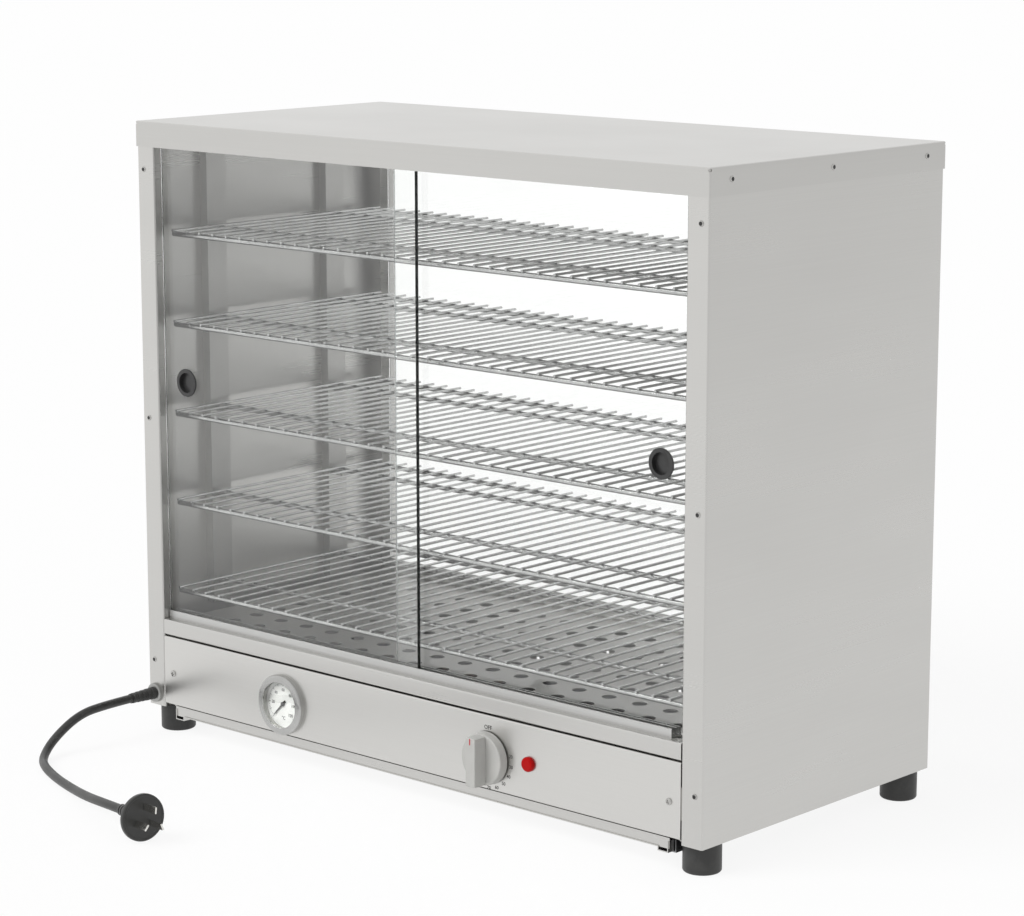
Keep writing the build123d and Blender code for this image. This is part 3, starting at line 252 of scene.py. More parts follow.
def turned(rings, segments=48, bored=False):
    """A lathe-turned shape: rings of (radius, height) up the Z axis, each extruded from the last."""
    deselect()
    radius, height = rings[0]
    bpy.ops.mesh.primitive_circle_add(vertices=segments, radius=radius, location=(0, 0, height))
    piece = bpy.context.object
    bpy.ops.object.transform_apply(location=True, rotation=True, scale=True)
    bpy.ops.object.mode_set(mode="EDIT")
    bpy.ops.mesh.select_all(action="SELECT")
    for next_radius, next_height in rings[1:]:
        rise = next_height - height
        grown = next_radius / radius
        bpy.ops.mesh.extrude_region_move(TRANSFORM_OT_translate={"value": (0, 0, rise)})
        bpy.ops.transform.resize(value=(grown, grown, 1), center_override=(0, 0, 0))
        radius, height = next_radius, next_height
    if not bored:
        bpy.ops.mesh.edge_face_add()
    bpy.ops.mesh.select_all(action="DESELECT")
    bpy.ops.mesh.select_non_manifold()
    if bored:
        bpy.ops.mesh.bridge_edge_loops()
    else:
        bpy.ops.mesh.edge_face_add()
    bpy.ops.mesh.select_all(action="SELECT")
    bpy.ops.mesh.normals_make_consistent(inside=False)
    bpy.ops.object.mode_set(mode="OBJECT")
    bpy.ops.object.shade_smooth_by_angle(angle=math.radians(35))
    return piece


def bar(width, length, rise):
    """A flat printed bar, extruded from a plane and centred on the origin."""
    deselect()
    bpy.ops.mesh.primitive_plane_add(size=1, location=(0, 0, -rise / 2))
    piece = bpy.context.object
    piece.scale = (width, length, 1)
    bpy.ops.object.transform_apply(location=True, rotation=True, scale=True)
    bpy.ops.object.mode_set(mode="EDIT")
    bpy.ops.mesh.select_all(action="SELECT")
    bpy.ops.mesh.extrude_region_move(TRANSFORM_OT_translate={"value": (0, 0, rise)})
    bpy.ops.mesh.select_all(action="SELECT")
    bpy.ops.mesh.normals_make_consistent(inside=False)
    bpy.ops.object.mode_set(mode="OBJECT")
    return piece


def lettering(words, height, rise):
    """Printed words centred on the origin, as a thin mesh that faces up."""
    deselect()
    bpy.ops.object.text_add()
    text = bpy.context.object
    text.data.body = words
    text.data.size = height / 0.7
    text.data.align_x = "CENTER"
    text.data.align_y = "CENTER"
    text.data.extrude = rise / 2
    text.data.resolution_u = 3
    text.data.offset = height * 0.03
    bpy.ops.object.convert(target="MESH")
    return bpy.context.object


def copies(piece, places):
    """Copies a modelled piece to each place, each with its own mesh, and removes the model."""
    made = []
    for place in places:
        copy = piece.copy()
        copy.data = piece.data.copy()
        bpy.context.collection.objects.link(copy)
        copy.matrix_world = place
        made.append(copy)
    bpy.data.objects.remove(piece)
    return made


def joined(pieces):
    pick(*pieces)
    if len(pieces) > 1:
        bpy.ops.object.join()
    return bpy.context.object


def settle(piece, name, material, body):
    """Applies a finished piece's place to its mesh and gives it its finish and body."""
    pick(piece)
    bpy.ops.object.transform_apply(location=True, rotation=True, scale=True)
    piece.name = name
    piece.data.name = name
    piece.data.materials.clear()
    piece.data.materials.append(material)
    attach(piece, body)
    return piece


def feed(tree, source, target):
    """Links a socket to an input, or writes a plain value there."""
    if isinstance(source, bpy.types.NodeSocket):
        tree.links.new(source, target)
    else:
        target.default_value = source


def sums(tree, operation, first, second=0.0, clamped=False):
    node = tree.nodes.new("ShaderNodeMath")
    node.operation = operation
    node.use_clamp = clamped
    feed(tree, first, node.inputs[0])
    feed(tree, second, node.inputs[1])
    return node.outputs[0]


def mixed(tree, first, first_share, second, second_share):
    """The sum of two values, each by its share."""
    return sums(
        tree,
        "ADD",
        sums(tree, "MULTIPLY", first, first_share),
        sums(tree, "MULTIPLY", second, second_share),
    )


def spread(tree, value, low, high):
    """Maps a value of 0 to 1 onto low to high."""
    node = tree.nodes.new("ShaderNodeMapRange")
    feed(tree, value, node.inputs["Value"])
    feed(tree, low, node.inputs["To Min"])
    feed(tree, high, node.inputs["To Max"])
    return node.outputs["Result"]


def narrowed(tree, value, low, high):
    """Maps a value of low to high onto 0 to 1."""
    node = tree.nodes.new("ShaderNodeMapRange")
    feed(tree, value, node.inputs["Value"])
    node.inputs["From Min"].default_value = low
    node.inputs["From Max"].default_value = high
    return node.outputs["Result"]


def blended(tree, share, first, second):
    """A colour between two, by a share of 0 to 1."""
    node = tree.nodes.new("ShaderNodeMix")
    node.data_type = "RGBA"
    feed(tree, share, node.inputs["Factor"])
    feed(tree, first, node.inputs[6])
    feed(tree, second, node.inputs[7])
    return node.outputs[2]


def scaled(tree, vector, scale):
    node = tree.nodes.new("ShaderNodeMapping")
    feed(tree, vector, node.inputs["Vector"])
    node.inputs["Scale"].default_value = scale
    return node.outputs["Vector"]


def noise(tree, vector, scale, detail=2.0, roughness=0.5):
    node = tree.nodes.new("ShaderNodeTexNoise")
    feed(tree, vector, node.inputs["Vector"])
    node.inputs["Scale"].default_value = scale
    node.inputs["Detail"].default_value = detail
    node.inputs["Roughness"].default_value = roughness
    return node.outputs["Fac"]


def cells(tree, vector, scale, output="Distance"):
    node = tree.nodes.new("ShaderNodeTexVoronoi")
    feed(tree, vector, node.inputs["Vector"])
    node.inputs["Scale"].default_value = scale
    return node.outputs[output]


def pattern_group(name):
    """A shader node group that turns a place on a piece into a tone, a gloss and a height."""
    tree = bpy.data.node_groups.new(name, "ShaderNodeTree")
    tree.interface.new_socket("Vector", in_out="INPUT", socket_type="NodeSocketVector")
    amount = tree.interface.new_socket("Size", in_out="INPUT", socket_type="NodeSocketFloat")
    amount.default_value = 1.0
    for output in ("Tone", "Gloss", "Height"):
        tree.interface.new_socket(output, in_out="OUTPUT", socket_type="NodeSocketFloat")
    entry = tree.nodes.new("NodeGroupInput")
    outlet = tree.nodes.new("NodeGroupOutput")
    grown = tree.nodes.new("ShaderNodeVectorMath")
    grown.operation = "SCALE"
    tree.links.new(entry.outputs["Vector"], grown.inputs[0])
    tree.links.new(entry.outputs["Size"], grown.inputs["Scale"])
    return tree, grown.outputs[0], outlet


def side_mask(tree, axis):
    """1 where a face looks along that axis of the piece, either way."""
    coordinates = tree.nodes.new("ShaderNodeTexCoord")
    parts = tree.nodes.new("ShaderNodeSeparateXYZ")
    tree.links.new(coordinates.outputs["Normal"], parts.inputs[0])
    return sums(tree, "GREATER_THAN", sums(tree, "ABSOLUTE", parts.outputs[axis]), 0.7)


def brushed_pattern():
    """Fine level brush lines on folded sheet, with soft handling clouds."""
    tree, place, outlet = pattern_group("Brushed sheet")
    along_front = noise(tree, scaled(tree, place, (6, 1200, 1200)), 1.0, 1.0, 0.5)
    along_side = noise(tree, scaled(tree, place, (1200, 6, 1200)), 1.0, 1.0, 0.5)
    lines = blended(tree, side_mask(tree, "X"), along_front, along_side)
    clouds = noise(tree, place, 9.0, 3.0, 0.55)
    smears = noise(tree, scaled(tree, place, (5, 5, 22)), 1.0, 2.0, 0.5)
    tree.links.new(mixed(tree, lines, 0.7, clouds, 0.3), outlet.inputs["Tone"])
    tree.links.new(mixed(tree, smears, 0.6, lines, 0.4), outlet.inputs["Gloss"])
    tree.links.new(lines, outlet.inputs["Height"])
    return tree


def spangled_pattern():
    """The angular crystal patches of hot-dip zinc."""
    tree, place, outlet = pattern_group("Zinc spangle")
    patches = cells(tree, place, 95.0, "Color")
    fine = noise(tree, place, 420.0, 2.0)
    tone = mixed(tree, patches, 0.6, fine, 0.4)
    tree.links.new(tone, outlet.inputs["Tone"])
    tree.links.new(sums(tree, "SUBTRACT", 1.0, tone), outlet.inputs["Gloss"])
    tree.links.new(fine, outlet.inputs["Height"])
    return tree


def drawn_pattern():
    """Plating on drawn wire or tube: small spots and a faint stain."""
    tree, place, outlet = pattern_group("Drawn and plated")
    spots = narrowed(tree, cells(tree, place, 260.0), 0.05, 0.55)
    stain = noise(tree, place, 34.0, 3.0)
    tree.links.new(stain, outlet.inputs["Tone"])
    tree.links.new(sums(tree, "MULTIPLY", stain, spots), outlet.inputs["Gloss"])
    tree.links.new(spots, outlet.inputs["Height"])
    return tree


def moulded_pattern():
    """The fine spark-eroded grain of moulded plastic, with a faint flow cloud."""
    tree, place, outlet = pattern_group("Moulded plastic")
    grain = noise(tree, place, 2200.0, 2.0, 0.65)
    cloud = noise(tree, place, 60.0, 2.0)
    tree.links.new(cloud, outlet.inputs["Tone"])
    tree.links.new(mixed(tree, cloud, 0.5, grain, 0.5), outlet.inputs["Gloss"])
    tree.links.new(grain, outlet.inputs["Height"])
    return tree


def rubber_pattern():
    """Rubber with a dusty bloom in patches and a fine matt skin."""
    tree, place, outlet = pattern_group("Rubber bloom")
    bloom = narrowed(tree, noise(tree, place, 48.0, 4.0, 0.6), 0.35, 0.75)
    skin = noise(tree, place, 1500.0, 2.0, 0.6)
    tree.links.new(bloom, outlet.inputs["Tone"])
    tree.links.new(mixed(tree, bloom, 0.6, skin, 0.4), outlet.inputs["Gloss"])
    tree.links.new(skin, outlet.inputs["Height"])
    return tree


def scorched_pattern():
    """The blue-brown heat tint of a used element sheath."""
    tree, place, outlet = pattern_group("Heat tint")
    bands = noise(tree, scaled(tree, place, (14, 40, 40)), 1.0, 3.0, 0.6)
    flecks = noise(tree, place, 700.0, 2.0)
    tree.links.new(bands, outlet.inputs["Tone"])
    tree.links.new(flecks, outlet.inputs["Gloss"])
    tree.links.new(flecks, outlet.inputs["Height"])
    return tree


PATTERNS = {
    "brushed": brushed_pattern,
    "spangled": spangled_pattern,
    "drawn": drawn_pattern,
    "moulded": moulded_pattern,
    "rubber": rubber_pattern,
    "scorched": scorched_pattern,
}


def pattern(name):
    """The shared node group of that pattern, made on first use."""
    if name not in bpy.context.scene.case_patterns:
        made = PATTERNS[name]()
        row = bpy.context.scene.case_patterns.add()
        row.name = name
        row.group = made.name
    return bpy.data.node_groups[bpy.context.scene.case_patterns[name].group]


class CasePattern(bpy.types.PropertyGroup):
    """Where a shared pattern's node group is found"""

    group: bpy.props.StringProperty(
        name="Node group",
        description="Name of the pattern's node group",
        default="",
    )


def dust_mask(tree, vector, amount):
    """A thin dust on what faces up, in soft patches."""
    coordinates = tree.nodes.new("ShaderNodeTexCoord")
    parts = tree.nodes.new("ShaderNodeSeparateXYZ")
    tree.links.new(coordinates.outputs["Normal"], parts.inputs[0])
    level = sums(tree, "POWER", sums(tree, "MAXIMUM", parts.outputs["Z"], 0.0), 3.0)
    patches = narrowed(tree, noise(tree, vector, 16.0, 3.0), 0.4, 0.8)
    return sums(tree, "MULTIPLY", sums(tree, "MULTIPLY", level, patches), amount)


def finish(name, light, dark, glossy, matt, metallic, kind, bump, size=1.0, dust=0.0):
    """A material between two colours and two roughnesses, by one of the shared patterns."""
    material = bpy.data.materials.new(name)
    material.use_nodes = True
    tree = material.node_tree
    shader = tree.nodes["Principled BSDF"]
    coordinates = tree.nodes.new("ShaderNodeTexCoord")
    mapping = tree.nodes.new("ShaderNodeMapping")
    tree.links.new(coordinates.outputs["Object"], mapping.inputs["Vector"])
    detail = tree.nodes.new("ShaderNodeGroup")
    detail.node_tree = pattern(kind)
    tree.links.new(mapping.outputs["Vector"], detail.inputs["Vector"])
    detail.inputs["Size"].default_value = size
    tone = narrowed(tree, detail.outputs["Tone"], 0.25, 0.75)
    colour = blended(tree, tone, (*dark, 1.0), (*light, 1.0))
    roughness = spread(tree, narrowed(tree, detail.outputs["Gloss"], 0.2, 0.8), glossy, matt)
    if dust > 0:
        mask = dust_mask(tree, mapping.outputs["Vector"], dust)
        colour = blended(tree, mask, colour, DUST_COLOUR)
        roughness = sums(tree, "ADD", roughness, sums(tree, "MULTIPLY", mask, 0.3), clamped=True)
    tree.links.new(colour, shader.inputs["Base Color"])
    tree.links.new(roughness, shader.inputs["Roughness"])
    shader.inputs["Metallic"].default_value = metallic
    relief = tree.nodes.new("ShaderNodeBump")
    relief.inputs["Strength"].default_value = bump
    relief.inputs["Distance"].default_value = BUMP_DISTANCE
    tree.links.new(detail.outputs["Height"], relief.inputs["Height"])
    tree.links.new(relief.outputs["Normal"], shader.inputs["Normal"])
    return material


def darker(colour, share):
    return tuple(part * share for part in colour)


def shaded_inside(material, share, fall):
    """Paints shade onto the side panels' faces that look into the cabinet, more so higher up."""
    tree = material.node_tree
    shader = tree.nodes["Principled BSDF"]
    colour = shader.inputs["Base Color"].links[0].from_socket
    coordinates = tree.nodes.new("ShaderNodeTexCoord")
    place = tree.nodes.new("ShaderNodeSeparateXYZ")
    facing = tree.nodes.new("ShaderNodeSeparateXYZ")
    tree.links.new(coordinates.outputs["Object"], place.inputs[0])
    tree.links.new(coordinates.outputs["Normal"], facing.inputs[0])
    outward = sums(tree, "MULTIPLY", place.outputs["X"], facing.outputs["X"])
    inside = sums(tree, "LESS_THAN", outward, -0.1)
    shade = tree.nodes.new("ShaderNodeVectorMath")
    shade.operation = "SCALE"
    tree.links.new(colour, shade.inputs[0])
    level = sums(tree, "SUBTRACT", share, sums(tree, "MULTIPLY", place.outputs["Z"], fall))
    tree.links.new(level, shade.inputs["Scale"])
    tree.links.new(blended(tree, inside, colour, shade.outputs[0]), shader.inputs["Base Color"])


def glass_finish(name, edge_axes, edge_colour):
    """Clear glass with faint smears and a dark ground edge, that lets the lamps' light through."""
    material = bpy.data.materials.new(name)
    material.use_nodes = True
    tree = material.node_tree
    shader = tree.nodes["Principled BSDF"]
    coordinates = tree.nodes.new("ShaderNodeTexCoord")
    edge = 0.0
    for axis in edge_axes:
        edge = sums(tree, "MAXIMUM", side_mask(tree, axis), edge)
    smear = noise(tree, scaled(tree, coordinates.outputs["Object"], (7, 7, 3)), 1.0, 4.0, 0.6)
    smear = spread(tree, narrowed(tree, smear, 0.5, 0.8), 0.0, 0.035)
    colour = blended(tree, edge, CLEAR_GLASS, edge_colour)
    tree.links.new(colour, shader.inputs["Base Color"])
    tree.links.new(
        sums(tree, "ADD", smear, sums(tree, "MULTIPLY", edge, 0.25)), shader.inputs["Roughness"]
    )
    shader.inputs["Metallic"].default_value = 0.0
    shader.inputs["IOR"].default_value = 1.5
    shader.inputs["Transmission Weight"].default_value = 1.0
    path = tree.nodes.new("ShaderNodeLightPath")
    clear = tree.nodes.new("ShaderNodeBsdfTransparent")
    clear.inputs["Color"].default_value = (0.93, 0.94, 0.93, 1)
    chooser = tree.nodes.new("ShaderNodeMixShader")
    tree.links.new(path.outputs["Is Shadow Ray"], chooser.inputs["Fac"])
    tree.links.new(shader.outputs[0], chooser.inputs[1])
    tree.links.new(clear.outputs[0], chooser.inputs[2])
    tree.links.new(chooser.outputs[0], tree.nodes["Material Output"].inputs["Surface"])
    return material


def smooth_faces(node):
    """Shades a CAD node's curved faces smoothly: its loose triangles are merged on the way out."""
    node.data.shade_smooth()
    weld = node.modifiers.new("Merge", "WELD")
    weld.merge_threshold = 0.000002
    split = node.modifiers.new("Keep edges", "EDGE_SPLIT")
    split.split_angle = math.radians(32)


def dress(material, *names):
    """Gives CAD nodes their finish, in their objects' own slots."""
    for name in names:
        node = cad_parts[name]
        if not node.material_slots:
            node.data.materials.append(material)
        for holder in node.material_slots:
            holder.material = material
        smooth_faces(node)


class PIECASE_OT_stage(bpy.types.Operator):
    """Makes the camera, the pale floor and the soft studio light"""

    bl_idname = "piecase.stage"
    bl_label = "Stage, light and camera"

    def execute(self, context):
        scene = context.scene
        scene.view_settings.view_transform = "Standard"
        self.make_camera(scene)
        self.make_floor()
        self.make_lamps()
        self.make_world(scene)
        return {"FINISHED"}

    def make_camera(self, scene):
        back = Vector((
            math.sin(CAMERA_AZIMUTH) * math.cos(CAMERA_ELEVATION),
            -math.cos(CAMERA_AZIMUTH) * math.cos(CAMERA_ELEVATION),
            math.sin(CAMERA_ELEVATION),
        ))
        lens = bpy.data.cameras.new("Camera")
        lens.lens = CAMERA_LENS
        lens.sensor_width = 36
        lens.clip_end = 200
        camera = bpy.data.objects.new("Camera", lens)
        scene.collection.objects.link(camera)
        camera.location = CAMERA_TARGET + back * CAMERA_DISTANCE
        camera.rotation_mode = "QUATERNION"
        camera.rotation_quaternion = (-back).to_track_quat("-Z", "Y")
        scene.camera = camera

    def seen_share(self, tree, share):
        """share for rays that show a background: from the camera, off gloss and through glass."""
        path = tree.nodes.new("ShaderNodeLightPath")
        seen = sums(tree, "MAXIMUM", path.outputs["Is Camera Ray"], path.outputs["Is Glossy Ray"])
        seen = sums(tree, "MAXIMUM", seen, path.outputs["Is Transmission Ray"])
        return sums(tree, "MULTIPLY", seen, share)

    def make_floor(self):
        """A pale floor that is white to the camera and, in gloss, brighter on the left."""
        deselect()
        bpy.ops.mesh.primitive_plane_add(size=80, location=(0, 0, 0))
        floor = bpy.context.object
        floor.name = "Floor"
        material = bpy.data.materials.new("Pale floor")
        material.use_nodes = True
        tree = material.node_tree
        shader = tree.nodes["Principled BSDF"]
        shader.inputs["Base Color"].default_value = (0.93, 0.93, 0.93, 1)
        shader.inputs["Roughness"].default_value = 0.9
        shader.inputs["Specular IOR Level"].default_value = 0.1
        white = tree.nodes.new("ShaderNodeEmission")
        parts = tree.nodes.new("ShaderNodeSeparateXYZ")
        coordinates = tree.nodes.new("ShaderNodeTexCoord")
        tree.links.new(coordinates.outputs["Object"], parts.inputs[0])
        lean = sums(tree, "MULTIPLY", parts.outputs["X"], FLOOR_LEAN)
        lean = sums(tree, "ADD", lean, FLOOR_LIFT)
        lean = sums(tree, "MINIMUM", lean, FLOOR_LIMIT)
        lean = sums(tree, "MAXIMUM", lean, -FLOOR_LIMIT)
        path = tree.nodes.new("ShaderNodeLightPath")
        strength = sums(tree, "MULTIPLY", path.outputs["Is Glossy Ray"], lean)
        strength = sums(tree, "ADD", strength, 1.0)
        tree.links.new(strength, white.inputs["Strength"])
        chooser = tree.nodes.new("ShaderNodeMixShader")
        tree.links.new(self.seen_share(tree, FLOOR_SHOWN), chooser.inputs["Fac"])
        tree.links.new(shader.outputs[0], chooser.inputs[1])
        tree.links.new(white.outputs[0], chooser.inputs[2])
        tree.links.new(chooser.outputs[0], tree.nodes["Material Output"].inputs["Surface"])
        floor.data.materials.append(material)

    def make_lamps(self):
        for name, direction, strength, angle in LAMPS:
            lamp = bpy.data.lights.new(name, "SUN")
            lamp.energy = strength
            lamp.angle = math.radians(angle)
            holder = bpy.data.objects.new(name, lamp)
            bpy.context.scene.collection.objects.link(holder)
            holder.visible_glossy = False
            holder.rotation_mode = "QUATERNION"
            holder.rotation_quaternion = Vector(direction).to_track_quat("Z", "Y")

    def make_world(self, scene):
        """White to the camera; a little darker on the right for gloss; soft for all else."""
        world = bpy.data.worlds.new("Studio")
        scene.world = world
        world.use_nodes = True
        tree = world.node_tree
        background = tree.nodes["Background"]
        coordinates = tree.nodes.new("ShaderNodeTexCoord")
        lean = tree.nodes.new("ShaderNodeVectorMath")
        lean.operation = "DOT_PRODUCT"
        tree.links.new(coordinates.outputs["Generated"], lean.inputs[0])
        lean.inputs[1].default_value = WORLD_LEAN
        gloss_level = sums(tree, "ADD", lean.outputs["Value"], WORLD_GLOSS)
        path = tree.nodes.new("ShaderNodeLightPath")
        level = sums(tree, "MULTIPLY", path.outputs["Is Glossy Ray"], gloss_level)
        straight = sums(
            tree, "MAXIMUM", path.outputs["Is Camera Ray"], path.outputs["Is Transmission Ray"]
        )
        level = sums(tree, "MAXIMUM", level, straight)
        tree.links.new(sums(tree, "MAXIMUM", level, WORLD_SOFT), background.inputs["Strength"])
        background.inputs["Color"].default_value = (1, 1, 1, 1)


class PIECASE_OT_lead(bpy.types.Operator):
    """Makes the mains lead, its strain relief and its plug"""

    bl_idname = "piecase.lead"
    bl_label = "Mains lead and plug"

    def execute(self, context):
        colour = tuple(case_colours().rubber)
        rubber = finish("Lead rubber", darker(colour, 1.5), darker(colour, 0.8), 0.34, 0.52, 0.0,
                        "rubber", 0.25)
        plastic = finish("Plug plastic", darker(colour, 1.3), darker(colour, 0.9), 0.26, 0.42, 0.0,
                         "moulded", 0.3)
        brass = finish("Plug blades", (0.80, 0.79, 0.76), (0.68, 0.67, 0.63), 0.16, 0.30, 1.0,
                       "drawn", 0.1)
        lead = self.lead(rubber)
        relief = self.strain_relief(rubber)
        plug = self.plug(plastic)
        dress(brass, "plug_pins")
        return {"FINISHED"}

    def lead(self, material):
        curve = bpy.data.curves.new("mains_lead", "CURVE")
        curve.dimensions = "3D"
        line = curve.splines.new("NURBS")
        line.points.add(len(LEAD_ROUTE) - 1)
        for point, place in zip(line.points, LEAD_ROUTE):
            point.co = (*place, 1.0)
        line.order_u = 3
        line.use_endpoint_u = True
        line.resolution_u = 16
        curve.bevel_depth = case_sizes().lead_diameter / 2
        curve.bevel_resolution = 8
        curve.use_fill_caps = True
        curve.materials.append(material)
        lead = bpy.data.objects.new("mains_lead", curve)
        bpy.context.scene.collection.objects.link(lead)
        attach(lead, "cabinet")
        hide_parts("power_cord")
        return lead

    def strain_relief(self, material):
        low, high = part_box("cord_sleeve")
        length = high.y - low.y
        rings = [(RELIEF_RADIUS, 0.0)]
        pitch = length / RELIEF_RIBS
        for rib in range(RELIEF_RIBS):
            start = rib * pitch
            radius = RELIEF_RADIUS - RELIEF_TAPER * (rib + 0.5) / RELIEF_RIBS
            rings += [
                (radius, start + 0.0003),
                (radius, start + pitch * 0.62),
                (radius - RELIEF_GROOVE, start + pitch * 0.70),
                (radius - RELIEF_GROOVE, start + pitch * 0.93),
            ]
        rings += [(0.0050, length), (RELIEF_BORE, length), (RELIEF_BORE, 0.0)]
        piece = turned(rings, segments=40, bored=True)
        middle = (low + high) / 2
        piece.matrix_world = Matrix.Translation((middle.x, high.y, middle.z)) @ FRONTWARD
        settle(piece, "strain_relief", material, "cabinet")
        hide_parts("cord_sleeve")
        return piece

    def plug(self, material):
        rings = [(0.0045, 0.0), (0.0053, 0.0005)]
        for rib in range(PLUG_RIBS):
            start = 0.0010 + rib * PLUG_RIB_PITCH
            radius = 0.0056 + rib * PLUG_RIB_GROWTH
            rings += [
                (radius, start + 0.0024),
                (radius - 0.0009, start + 0.0028),
                (radius - 0.0009, start + 0.0040),
                (radius + 0.0002, start + 0.0044),
            ]
        rings += [
            (0.0078, 0.0222),
            (0.0083, 0.0280),
            (0.0098, 0.0305),
            (0.0138, 0.0328),
            (0.0190, 0.0343),
            (0.0210, 0.0350),
            (0.0219, 0.0358),
            (0.0220, 0.0366),
            (0.0220, 0.0386),
            (0.0218, 0.0394),
            (0.0211, 0.0400),
            (0.0197, 0.0400),
            (0.0192, 0.0396),
            (0.0005, 0.0396),
        ]
        piece = turned(rings, segments=72)
        aim = Vector((0, 0, 1)).rotation_difference(PLUG_AXIS).to_matrix().to_4x4()
        piece.matrix_world = Matrix.Translation(LEAD_ROUTE[-1]) @ aim
        settle(piece, "plug_shell", material, "cabinet")
        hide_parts("plug_body")
        return piece


class PIECASE_OT_sheet_metal(bpy.types.Operator):
    """Finishes the cabinet's sheets, sills, tracks and racks"""

    bl_idname = "piecase.sheet_metal"
    bl_label = "Sheet metal and racks"

    def execute(self, context):
        steel = tuple(case_colours().steel)
        sheet = finish("Brushed stainless", darker(steel, 1.02), darker(steel, 0.975), 0.24, 0.36,
                       1.0, "brushed", 0.02)
        walls = finish("Side panel stainless", darker(steel, 1.02), darker(steel, 0.975), 0.24,
                       0.36, 1.0, "brushed", 0.02)
        shaded_inside(walls, WALL_SHADE, WALL_FALL)
        # Painted light: the control panel is the sheet's own stainless, painted about a tenth
        # lighter to stand in for the light on the front face.
        front = finish("Control panel stainless, painted light", darker(steel, 1.12), darker(steel, 1.08), 0.28,
                       0.38, 1.0, "brushed", 0.015)
        # Painted shade: the uprights, cabinet floor and rack clips take the sheet's stainless
        # painted about a quarter darker, for the shade inside the cabinet; the dust on their upward
        # faces is real dust.
        shaded_inner = finish("Inner stainless, painted shade and dust", darker(steel, 0.78), darker(steel, 0.71), 0.34, 0.48,
                       1.0, "brushed", 0.03, dust=0.12)
        lid = finish("Lid stainless", darker(steel, 0.99), darker(steel, 0.955), 0.28, 0.40, 1.0,
                     "brushed", 0.02, dust=0.06)
        zinc = finish("Galvanised sheet", (0.27, 0.275, 0.28), (0.20, 0.205, 0.21), 0.40, 0.56,
                      1.0, "spangled", 0.05, dust=0.1)
        aluminium = finish("Track aluminium", (0.62, 0.62, 0.61), (0.54, 0.54, 0.53), 0.28, 0.42,
                           1.0, "brushed", 0.04)
        wire = finish("Bright wire", (0.56, 0.565, 0.56), (0.40, 0.405, 0.40), 0.14, 0.28, 1.0,
                      "drawn", 0.08)
        dress(lid, "top_cover")
        dress(sheet, "rear_base_panel", "front_sill", "rear_sill", "crumb_tray")
        dress(walls, "left_side_panel", "right_side_panel")
        dress(front, "control_panel")
        dress(shaded_inner, "cabinet_floor", "left_front_upright", "left_rear_upright",
              "right_front_upright", "right_rear_upright", "rack_clips")
        dress(zinc, "base_pan", "left_tray_runner", "right_tray_runner", "element_brackets")
        dress(aluminium, "lower_front_track", "upper_front_track", "rear_lower_channel",
              "rear_upper_channel")
        dress(wire, *[f"rack_{number}" for number in range(1, 6)])
        return {"FINISHED"}


class PIECASE_OT_glazing(bpy.types.Operator):
    """Finishes the sliding doors, their pulls and the rear pane"""

    bl_idname = "piecase.glazing"
    bl_label = "Glass and pulls"

    def execute(self, context):
        glass = glass_finish("Clear door glass", ("X", "Z"), (0.16, 0.19, 0.18, 1))
        black = finish("Pull plastic", (0.035, 0.035, 0.035), (0.018, 0.018, 0.018), 0.22, 0.38,
                       0.0, "moulded", 0.3)
        dress(glass, "left_door_glass", "right_door_glass", "rear_glass")
        dress(black, "left_door_pull", "right_door_pull")
        return {"FINISHED"}


